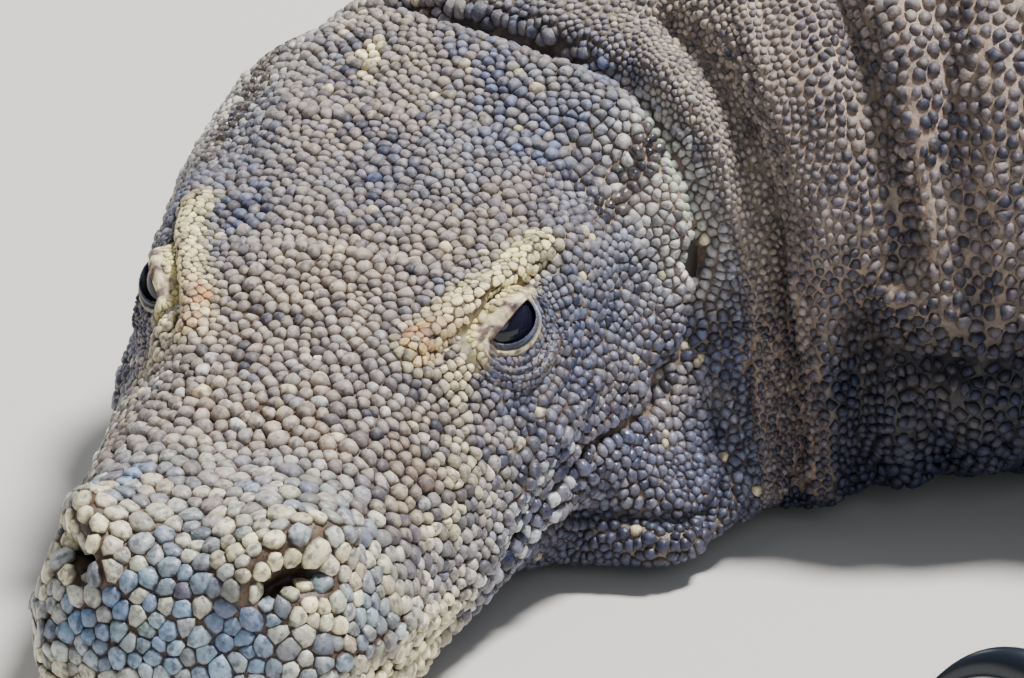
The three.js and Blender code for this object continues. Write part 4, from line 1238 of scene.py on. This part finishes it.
# Lid colours: a black edge and a cream rim over blue grey folds below, cream with brown blotches above, one
# passing into the other at the corners; painted shade darkens the skin between the lower lid's grains and the
# groove along the top of the upper lid
def lidTint(theta, q, p):
    upper = ease(0.5 + 1.6 * np.sin(theta)).ravel()
    qq, n1, n2 = q.ravel(), waves(p.reshape(-1, 3), 5, 31), waves(p.reshape(-1, 3), 2.2, 32)
    front = ease(-np.cos(theta)).ravel()
    beyond = ease((qq - 0.25) / 0.07)
    low = layered("domeBlue", ("navy", 0.35 + 0.7 * n1 + 0.6 * (front - 0.5)),
                  ("black", smoothBell(qq, 0.12, 0.035 + 0.03 * front) * 0.95),
                  ("black", (1 - ease((qq - 0.02) / 0.1)) * front * 0.6),
                  ("cream", smoothBell(qq, 0.205, 0.05) * (0.8 + 0.5 * n1)),
                  ("brown", smoothBell(qq, 0.20, 0.06) * (0.3 + 1.2 * n2) * 0.9), ("cheek", beyond),
                  # painted shade on the skin between the lower lid's grains
                  ("creviceShade", beyond * (0.3 + 0.4 * n2)),
                  ("net", beyond * np.clip(0.5 * front + 0.9 * n2, 0, 1) * 0.3),
                  ("black", smoothBell(qq, 0.0, 0.03) * 0.8))
    up = layered("cream", ("pink", 0.5 + 0.6 * n1),
                 ("brown", np.clip((0.4 + 0.6 * front) * (3.4 * n1 + 2.4 * n2 + 0.2), 0, 1) * 0.92),
                 # painted shade in the groove along the top of the upper lid
                 ("creviceShade", smoothBell(qq, 0.84, 0.07) * 0.7), ("black", smoothBell(qq, 0.0, 0.05) * 0.9),
                 ("yellow", ease((qq - 0.5) / 0.2) * 0.6))
    return low * (1 - upper)[:, None] + up * upper[:, None]


# Puts a colour on each point, with the gloss in its alpha
def setTint(mesh, colour, gloss):
    data = np.column_stack([colour, gloss]).astype(np.float32)
    tint = mesh.attributes.new("tint", "FLOAT_COLOR", "POINT")
    tint.data.foreach_set("color", data.ravel())


hide = {"roughness": 0.55, "wet": 0.14, "specular": 0.45, "speckle": 620, "patch": 60, "blotch": 330,
        "stain": 480, "grain": 1500, "bump": 0.6, "bumpDepth": 0.0003, "dustFrom": (0.015, 0.075),
        "coatDust": 0.24, "skinDust": 0.20}


# The hide: the points' tint times a speckle, mixed with navy stains and with dust in patches, less
# of it near the floor; roughness falls as the tint's alpha rises; a fine grain as bump
def hideMaterial(name, dust):
    material = bpy.data.materials.new(name)
    material.use_nodes = True
    nodes, links = material.node_tree.nodes, material.node_tree.links
    shader = nodes["Principled BSDF"]
    tint = nodes.new("ShaderNodeAttribute")
    tint.attribute_name = "tint"
    place = nodes.new("ShaderNodeTexCoord")

    def noise(scale, detail):
        node = nodes.new("ShaderNodeTexNoise")
        node.inputs["Scale"].default_value, node.inputs["Detail"].default_value = scale, detail
        links.new(place.outputs["Object"], node.inputs["Vector"])
        return node.outputs["Fac"]

    def between(value, low, high, toLow, toHigh):
        node = nodes.new("ShaderNodeMapRange")
        for key, number in zip(("From Min", "From Max", "To Min", "To Max"), (low, high, toLow, toHigh)):
            node.inputs[key].default_value = number
        links.new(value, node.inputs["Value"])
        return node.outputs["Result"]

    def blend(kind, a, b, fac):
        node = nodes.new("ShaderNodeMix")
        node.data_type, node.blend_type = "RGBA", kind
        for socket, value in ((node.inputs[0], fac), (node.inputs[6], a), (node.inputs[7], b)):
            if isinstance(value, bpy.types.NodeSocket):
                links.new(value, socket)
            elif isinstance(value, (tuple, list, np.ndarray)):
                socket.default_value = (*value[:3], 1)
            else:
                socket.default_value = value
        return node.outputs[2]

    speckle = between(noise(hide["speckle"], 3), 0.35, 0.65, 0.72, 1.22)
    scaled = nodes.new("ShaderNodeVectorMath")
    scaled.operation = "SCALE"
    links.new(tint.outputs["Color"], scaled.inputs[0])
    links.new(speckle, scaled.inputs["Scale"])
    dusty = blend("ADD", between(noise(hide["patch"], 4), 0.45, 0.72, 0, dust),
                  between(noise(hide["blotch"], 3), 0.5, 0.72, 0, dust * 1.2), 1.0)
    apart = nodes.new("ShaderNodeSeparateXYZ")
    links.new(place.outputs["Object"], apart.inputs["Vector"])
    dusty = blend("MULTIPLY", dusty, between(apart.outputs["Z"], *hide["dustFrom"], 0.1, 1), 1.0)
    stained = blend("MIX", scaled.outputs["Vector"], paint["navy"],
                    between(noise(hide["stain"], 2), 0.52, 0.64, 0, dust * 2.6))
    colour = blend("MIX", stained, paint["dust"], dusty)
    links.new(colour, shader.inputs["Base Color"])
    rough = between(tint.outputs["Alpha"], 0, 1, hide["roughness"], hide["wet"])
    links.new(rough, shader.inputs["Roughness"])
    bump = nodes.new("ShaderNodeBump")
    bump.inputs["Strength"].default_value = hide["bump"]
    bump.inputs["Distance"].default_value = hide["bumpDepth"]
    links.new(noise(hide["grain"], 2), bump.inputs["Height"])
    links.new(bump.outputs["Normal"], shader.inputs["Normal"])
    shader.inputs["Specular IOR Level"].default_value = hide["specular"]
    return material


hideCoat = hideMaterial("scale_hide", hide["coatDust"])
hideSkin = hideMaterial("skin_hide", hide["skinDust"])


# A plain material: one linear colour, one roughness
def oneColour(name, colour, roughness):
    material = bpy.data.materials.new(name)
    material.use_nodes = True
    inputs = material.node_tree.nodes["Principled BSDF"].inputs
    inputs["Base Color"].default_value = (*colour, 1)
    inputs["Roughness"].default_value = roughness
    return material


# Both lids of an eye as one closed shell: the lid surface from its outer edge to the opening,
# then the same surface a skin's thickness lower back to the edge
def makeLids(side):
    rows, around, under = lid["rows"], lid["around"], lid["under"]
    theta = np.arange(around) / around * 2 * math.pi
    q = np.linspace(1, 0, rows)
    t, g = np.meshgrid(theta, q)
    top = lidSurface(side, t, g)
    out = eyeFrame(side)[3]
    t2, g2 = np.meshgrid(theta, np.linspace(0.03, 1, under))
    bottom = lidSurface(side, t2, g2) - out * (lid["thick"] * ease(g2 / 0.15 + 0.2))[..., None]
    rings = np.concatenate([top, bottom])
    count = len(rings)
    points = rings.reshape(-1, 3)
    faces = [*gridFaces(count, around)]
    j = np.arange(around)
    last = (count - 1) * around
    faces += [*np.stack([last + j, j, (j + 1) % around, last + (j + 1) % around], -1)]
    if side > 0:
        faces = [f[::-1] for f in faces]
    piece = newPiece(f"lids_{sideName[side]}", points, faces)
    allT, allQ = np.concatenate([t, t2]), np.concatenate([g, g2])
    shine = 0.6 * smoothBell(allQ.ravel(), 0.06, 0.05) + 0.2
    setTint(piece.data, lidTint(allT, allQ, rings), shine)
    piece.data.materials.append(hideSkin)
    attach(piece, "root")


# Small scales on the lids: random places, thinned, with none on the smooth fold of the upper lid
def lidGrains(side):
    gen = np.random.default_rng(9)
    theta = gen.uniform(0, 2 * math.pi, lid["grains"])
    q = gen.uniform(lid["grainFrom"], 1.0, lid["grains"])
    p = lidSurface(side, theta, q)
    chosen = thinned(p, np.full(len(p), lid["grain"] * 0.8), gen.permutation(len(p)))
    chosen = chosen[(q[chosen] > 0.62) | (np.sin(theta[chosen]) < -0.1)]
    theta, q, p = theta[chosen], q[chosen], p[chosen]
    along = lidSurface(side, theta + 0.02, q) - p
    outward = lidSurface(side, theta, np.minimum(q + 0.02, 1.02)) - p
    normal = unit(np.cross(outward, along))
    normal *= np.sign((normal * eyeFrame(side)[3]).sum(-1, keepdims=True))
    return p, normal, lidTint(theta, q, p) * lid["grainTint"]


eyeLook = {"colour": (0.008, 0.008, 0.02), "roughness": 0.06, "refraction": 1.45, "rings": 48, "around": 64,
           "inset": 0.12, "bulge": 0.1}


# Eyeball: circles of a ball a little inside its place, whose radius has a bell added round the front
def makeEye(side):
    centre, ex, ey, out = eyeFrame(side)
    u = np.linspace(0, math.pi, eyeLook["rings"] + 1)[1:-1]
    v = np.arange(eyeLook["around"]) / eyeLook["around"] * 2 * math.pi
    r = eye["radius"] - eyeLook["inset"] + eyeLook["bulge"] * np.exp(-(u / 0.5) ** 2)
    rings = centre + (r * np.cos(u))[:, None, None] * out + (r * np.sin(u))[:, None, None] * (
        np.cos(v)[None, :, None] * ex + np.sin(v)[None, :, None] * ey)
    points, faces = tubeMesh(rings)
    if side > 0:
        faces = [f[::-1] for f in faces]
    name = sideName[side]
    piece = newPiece(f"eyeball_{name}", points, faces)
    material = oneColour(f"eye_{name}", eyeLook["colour"], eyeLook["roughness"])
    material.node_tree.nodes["Principled BSDF"].inputs["IOR"].default_value = eyeLook["refraction"]
    piece.data.materials.append(material)
    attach(piece, "root")
    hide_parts(f"eye_{name}")


for side in (1, -1):
    makeLids(side)
    makeEye(side)
print("eyes")


claw = {"length": 26.6, "radius": 4.8, "narrow": 0.8, "rise": 3, "drop": 7.6, "gap": 0.4, "rings": 16,
        "around": 14, "taper": 0.86, "colour": (24, 32, 44), "roughness": 0.32}
drum = {"station": 186.0, "wide": 4.4, "half": 0.8, "around": 24, "colour": (58, 52, 48), "roughness": 0.5,
        "share": [0.15, 0.5, 0.85, 1.0, 1.0, 0.5], "deep": [0.3, 0.45, 0.8, 0.7, -0.8, -0.8], "tall": 0.97}
clawHorn = oneColour("claw_horn", linear(*claw["colour"]), claw["roughness"])
drumSkin = oneColour("ear_drum", linear(*drum["colour"]), drum["roughness"])


# Claw: ovals along a curve that rises a little and drops, rise * sin(pi t) - drop * t^2,
# their size falling as 1 - taper * t^1.4
def makeClaw(name, base, direction, reach):
    t = np.linspace(0, 1, claw["rings"])
    centre = base + direction * (reach + claw["gap"] + claw["length"] * t)[:, None]
    centre[:, 2] = legSkin["toeTip"] + claw["rise"] * np.sin(math.pi * t) - claw["drop"] * t ** 2
    slope = (claw["rise"] * math.pi * np.cos(math.pi * t) - 2 * claw["drop"] * t) / claw["length"]
    slope[0] = 0
    along = unit(direction + np.column_stack([t * 0, t * 0, slope]))
    size = claw["radius"] * (1 - claw["taper"] * t ** 1.4)
    points, faces = tubeMesh(ovals(centre, along, size * claw["narrow"], size, claw["around"], 0.0))
    piece = newPiece(name.replace("_claw_", "_talon_"), points, faces)
    piece.data.materials.append(clawHorn)
    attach(piece, "root")
    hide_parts(name)


for name, leg in legs.items():
    for i, (base, direction, reach) in enumerate(leg["toes"]):
        makeClaw(f"{name}_claw_{i + 1}", base, direction, reach)
print("claws")


# Eardrum: a shallow dish in the ear, rings of ellipses at a share of its width and a share of its
# depth, deepest in the middle, in the box of the part's drum
def makeDrum(side):
    name = sideName[side]
    low, high = (np.array(v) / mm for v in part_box(f"ear_{name}"))
    centre, half = (low + high) / 2, (high - low) / 2
    a = math.radians(heading(drum["station"]))
    out = side * np.array([math.sin(a), -math.cos(a), 0])
    back = np.array([math.cos(a), math.sin(a), 0])
    share, deep = np.array(drum["share"]), np.array(drum["deep"])
    v = np.arange(drum["around"]) / drum["around"] * 2 * math.pi
    wide, tall = share * drum["wide"], share * half[2] * drum["tall"]
    rings = (centre + (deep * drum["half"])[:, None, None] * out
             + wide[:, None, None] * np.cos(v)[None, :, None] * back
             + tall[:, None, None] * np.sin(v)[None, :, None] * np.array([0, 0, 1.0]))
    points, faces = tubeMesh(rings)
    if side > 0:
        faces = [list(f)[::-1] for f in faces]
    piece = newPiece(f"eardrum_{name}", points, faces)
    piece.data.materials.append(drumSkin)
    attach(piece, "root")
    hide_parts(f"ear_{name}")


for side in (1, -1):
    makeDrum(side)


# Points over the lids: inside the ellipse of their outer edge and not behind the eye
def insideLids(points, side):
    centre, ex, ey, out = eyeFrame(side)
    to = points - centre
    x, y = to @ ex, to @ ey
    w = lid["outer"]
    rx = np.where(x > 0, w["back"], w["front"])
    ry = np.where(y > 0, w["up"], w["down"])
    return ((x / rx) ** 2 + (y / ry) ** 2 < 0.93) & (to @ out > -4)


# Place on the bake map: distance back across it, angle up it, inside a margin
def unwrap(s, phi, low, high):
    across, up = (s - low) / (high - low), np.mod(phi / (2 * math.pi), 1)
    return np.column_stack([0.02 + 0.96 * across, 0.02 + 0.96 * up])


# How far a scale is on the brow: exp(-(distance to its crest / 5)^4)
def browShare(s, phi):
    share = np.zeros(len(s))
    near = s < 160
    share[near] = nearPath(headPoint(s[near], phi[near]), lines["browCrest"][2], 5.0, 4)
    return share


heights = {"at": [0, 35, 60, 205, 240, 470, 700], "share": [0.44, 0.56, 0.86, 0.86, 0.92, 0.60, 0.36],
           "brow": 0.6, "vary": 0.15}


# Height of a scale over its half width, by distance back; lower on the brow, and varied by waves
def plateHeight(s, phi):
    h = np.interp(s, heights["at"], heights["share"])
    h *= 1 - heights["brow"] * browShare(s, phi)
    return h * (1 + heights["vary"] * waves(np.column_stack([s, phi * 60, 0 * s]), 40, 41))


coatTotals = {"pieces": 0, "triangles": 0}
bare = {"height": 1.6, "headHeight": 1.5, "down": -0.4}     # no scales where the skin lies on the floor
mostScales = {"head": 3350, "neck": 4900, "plain": 8800}    # in one piece


# A region's coat, cut along the spine into pieces of at most so many scales
def makeCoat(prefix, form, group, low, high, perPiece):
    order = np.argsort(group["s"])
    parts = max(1, math.ceil(len(order) / perPiece))
    for n, chosen in enumerate(np.array_split(order, parts)):
        g = picked(group, chosen)
        uv = unwrap(g["s"], g["phi"], low, high)
        piece, total = coatPiece(f"{prefix}_{n + 1}", form, g, uv, 100 + n)
        coatTotals["pieces"] += 1
        coatTotals["triangles"] += total
        print(piece.name, len(chosen), total)


# A group of scales: one array for each value that a scale has
def grouped(p, normal, s, phi, size, tint, under, gloss, height, flat=0.0):
    flat = np.broadcast_to(flat, len(s)).astype(float)
    return {"p": p, "normal": normal, "s": s, "phi": phi, "size": size, "tint": tint, "under": under,
            "gloss": gloss, "height": height, "flat": flat}


# Two groups as one
def joined(a, b):
    return {key: np.concatenate([a[key], b[key]]) for key in a}


# The rows of a group that are kept
def picked(group, keep):
    return {key: value[keep] for key, value in group.items()}


headP = skinSurface(headS, headPhi)
headNormal = surfaceNormal(skinSurface, headS, headPhi, 1.2, 0.02)
headTint, headUnder, headGloss = markings(headP, headS, headPhi)
head = grouped(headP, headNormal, headS, headPhi, headSize, headTint, headUnder, headGloss,
               plateHeight(headS, headPhi), np.maximum(ease((62 - headS) / 20), browShare(headS, headPhi)))
keep = ~((headP[:, 2] < bare["headHeight"]) & (headNormal[:, 2] < bare["down"]))
head = picked(head, keep & ~insideLids(headP, 1) & ~insideLids(headP, -1))
for side in (1, -1):
    p, normal, tint = lidGrains(side)
    n = len(p)
    s = np.full(n, 112.0)
    phi = np.full(n, math.radians(42) if side > 0 else math.pi - math.radians(42))
    s += (p - p.mean(0)) @ eyeFrame(side)[1]
    phi += ((p - p.mean(0)) @ eyeFrame(side)[2]) / 50
    # the lid's colour at 0.4 under each grain is painted shade between the grains
    head = joined(head, grouped(p, normal, s, phi, np.full(n, lid["grain"]), tint, tint * 0.4,
                                np.full(n, 0.15), np.full(n, lid["grainHigh"])))
makeCoat("scales_head", "head", head, 0, headCoat["end"], mostScales["head"])

bodyP = skinSurface(rowS, rowPhi)
bodyP, bodyNormal, kept = ontoSkin(bodyP, 3.5)
rowS, rowPhi, rowSize = rowS[kept], rowPhi[kept], rowSize[kept]
bodyTint, bodyUnder, bodyGloss = markings(bodyP, rowS, rowPhi, 6)
bodyGroup = grouped(bodyP, bodyNormal, rowS, rowPhi, rowSize, bodyTint, bodyUnder, bodyGloss,
                    plateHeight(rowS, rowPhi))
bodyGroup = picked(bodyGroup, ~((bodyP[:, 2] < bare["height"]) & (bodyNormal[:, 2] < bare["down"])))
bodyGroup["leg"] = np.zeros(len(bodyGroup["s"]))
for index, (name, leg) in enumerate(legs.items()):
    places, sizes = legScales(leg)
    p, normal, kept = ontoSkin(places[:, :3], 5)
    places, sizes = places[kept], sizes[kept]
    share = places[:, 3]
    n1, n2 = waves(p, 50, 51), waves(p, 14, 52)
    foot = ease((share - legCoat["footFrom"]) / legCoat["footOver"])
    tint = layered("trunk", ("trunkPale", 0.3 + 0.5 * n1), ("foot", foot * (0.8 + 0.3 * n2)))
    tint = tint * rng.uniform(0.8, 1.2, len(p))[:, None]
    # the skin between the leg's scales: painted crevice shade, with black on the feet
    under = layered("creviceShade", ("black", foot * 0.5))
    gloss = legCoat["gloss"] * ease((share - 0.5) / 0.2)
    group = grouped(p, normal, share, places[:, 4] * 2 * math.pi, sizes, tint, under, gloss,
                    np.full(len(p), legCoat["high"]))
    group["leg"] = np.full(len(p), index + 1.0)
    group = picked(group, ~((p[:, 2] < bare["height"]) & (normal[:, 2] < bare["down"])))
    bodyGroup = joined(bodyGroup, group)
chosen = thinned(bodyGroup["p"], bodyGroup["size"] * rowCoat["spacing"], rng.permutation(len(bodyGroup["p"])))
bodyGroup = picked(bodyGroup, np.sort(chosen))
leg = bodyGroup.pop("leg")

# Regions: name, dome, which scales, least and greatest distance back on the bake map, slot, most
# scales in a piece. The side of the neck that the camera sees has the finer domes.
neckEnd, tailStart, seenFrom = 440, 1180, 35
onNeck, onTail = bodyGroup["s"] < neckEnd, bodyGroup["s"] >= tailStart
turnedAway = np.cos(bodyGroup["phi"] - math.radians(seenFrom)) < -0.25
regions = [
    ("neck", "bead", (leg == 0) & onNeck & ~turnedAway, 200, 445, "neck_hide", mostScales["neck"]),
    ("neck_right", "plain", (leg == 0) & onNeck & turnedAway, 200, 445, "neck_hide", mostScales["plain"]),
    ("trunk", "plain", (leg == 0) & ~onNeck & ~onTail, 435, 1185, "trunk_hide", mostScales["plain"]),
    ("tail", "plain", (leg == 0) & onTail, 1175, 2525, "tail_hide", mostScales["plain"]),
]
regions += [(name, "plain", leg == index + 1, 0, 1.05, "leg_hide", mostScales["plain"])
            for index, name in enumerate(legs)]
for name, form, keep, low, high, slot, most in regions:
    makeCoat(f"scales_{name}", form, picked(bodyGroup, keep), low, high, most)
print("coat", coatTotals)


skinShadeAndGloss = {"tint": 0.6, "gloss": 0.1}


# The skin takes the colour between scales of the scale nearest each point, darkened as painted shade between
# the scales
def paintSkin():
    every = np.concatenate([head["p"], bodyGroup["p"]])
    under = np.concatenate([head["under"], bodyGroup["under"]])
    tree = kdTree(every)
    nearest = np.array([tree.find(point)[1] for point in meshPoints(skin.data)])
    setTint(skin.data, under[nearest] * skinShadeAndGloss["tint"], np.full(len(nearest), skinShadeAndGloss["gloss"]))
    skin.data.materials.clear()
    skin.data.materials.append(hideSkin)
    skin.data.polygons.foreach_set("material_index", np.zeros(len(skin.data.polygons), np.int32))


paintSkin()

view = {"turn": 19.8, "raise": 22.7, "roll": 0.9, "headLength": 215, "distance": 9.5,
        "aim": (-0.5, 0, 0.25), "aimPixel": (327, 378), "pixels": (1024, 678), "scale": 9338.5,
        "film": 36}


# Camera: a long lens from the animal's left front, a little above. Back from the aim it stands
# distance head lengths along (cos raise cos turn, cos raise sin turn, sin raise), in the head's frame
def placeCamera():
    facing = math.radians(body["headAzimuth"] + 180)
    forward = np.array([math.cos(facing), math.sin(facing), 0])
    left = np.array([-math.sin(facing), math.cos(facing), 0])
    toModel = lambda v: forward * v[0] + left * v[1] + np.array([0, 0, v[2]])
    turn, lift, roll = (math.radians(view[k]) for k in ("turn", "raise", "roll"))
    back = np.array([math.cos(lift) * math.cos(turn), math.cos(lift) * math.sin(turn), math.sin(lift)])
    side = np.array([-math.sin(turn), math.cos(turn), 0])
    above = np.cross(back, side)
    snout = placed(np.zeros((1, 3)), spineShift)[0]
    at = snout + view["headLength"] * toModel(np.array(view["aim"]) + back * view["distance"])
    # the aim falls on aimPixel, so the middle of the picture looks a little to one side of it
    right = toModel(side * math.cos(roll) - above * math.sin(roll))
    up = toModel(side * math.sin(roll) + above * math.cos(roll))
    away = toModel(back)
    dx = (view["pixels"][0] / 2 - view["aimPixel"][0]) / view["scale"]
    dy = (view["aimPixel"][1] - view["pixels"][1] / 2) / view["scale"]
    look = unit(-away + right * dx + up * dy)
    right = unit(np.cross(look, up))
    up = np.cross(right, look)
    lens = bpy.data.cameras.new("view")
    lens.sensor_width, lens.lens = view["film"], view["scale"] * view["film"] / view["pixels"][0]
    lens.clip_start, lens.clip_end = 0.05, 50
    camera = bpy.data.objects.new("view", lens)
    m = np.eye(4)
    m[:3, 0], m[:3, 1], m[:3, 2], m[:3, 3] = right, up, -look, at * mm
    camera.matrix_world = Matrix(m.tolist())
    bpy.context.scene.collection.objects.link(camera)
    bpy.context.scene.camera = camera


placeCamera()

# Light: a key from above and behind, a large fill beside the camera, a rim from the far side and a
# pale room. Places are forward and left of the head along its facing, and above the floor, in metres
lamps = {
    "key": {"at": (-0.45, 0.75, 2.0), "size": 0.45, "power": 106, "colour": (1, 0.98, 0.96)},
    "fill": {"at": (2.2, 1.4, 1.2), "size": 2.0, "power": 20, "colour": (0.86, 0.93, 1)},
    "rim": {"at": (-1.2, -1.6, 1.4), "size": 1.0, "power": 18, "colour": (1, 1, 1)},
}
room = {"colour": (0.80, 0.84, 0.90), "strength": 0.22, "floor": (0.62, 0.60, 0.57), "floorHalf": 6,
        "floorRoughness": 0.9}


# A disk lamp turned to the target, placed from it along the head's facing
def addLamp(name, item, target):
    data = bpy.data.lights.new(name, "AREA")
    data.shape, data.size, data.energy, data.color = "DISK", item["size"], item["power"], item["colour"]
    lamp = bpy.data.objects.new(name, data)
    facing = math.radians(body["headAzimuth"] + 180)
    x, y, z = item["at"]
    lamp.location = (target[0] + x * math.cos(facing) - y * math.sin(facing),
                     target[1] + x * math.sin(facing) + y * math.cos(facing), z)
    lamp.rotation_euler = (Vector(target) - lamp.location).to_track_quat("-Z", "Y").to_euler()
    bpy.context.scene.collection.objects.link(lamp)


headMiddle = placed(np.array([[120.0, 0, 60]]), spineShift)[0] * mm
for name, item in lamps.items():
    addLamp(name, item, tuple(headMiddle))
world = bpy.data.worlds.new("room")
world.use_nodes = True
world.node_tree.nodes["Background"].inputs["Color"].default_value = (*room["colour"], 1)
world.node_tree.nodes["Background"].inputs["Strength"].default_value = room["strength"]
bpy.context.scene.world = world

# Floor: one square, just under the animal
half, drop = room["floorHalf"], -0.0004
floorMesh = bpy.data.meshes.new("floor")
floorMesh.from_pydata([(x * half, y * half, drop) for x, y in ((-1, -1), (1, -1), (1, 1), (-1, 1))],
                      [], [(0, 1, 2, 3)])
floor = bpy.data.objects.new("floor", floorMesh)
bpy.context.scene.collection.objects.link(floor)
floor.data.materials.append(oneColour("floor", room["floor"], room["floorRoughness"]))
floor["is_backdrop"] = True
print("camera and light")

low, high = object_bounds()
sizes = {"cad": [list(cadLow), list(cadHigh)], "visual": [list(low), list(high)]}
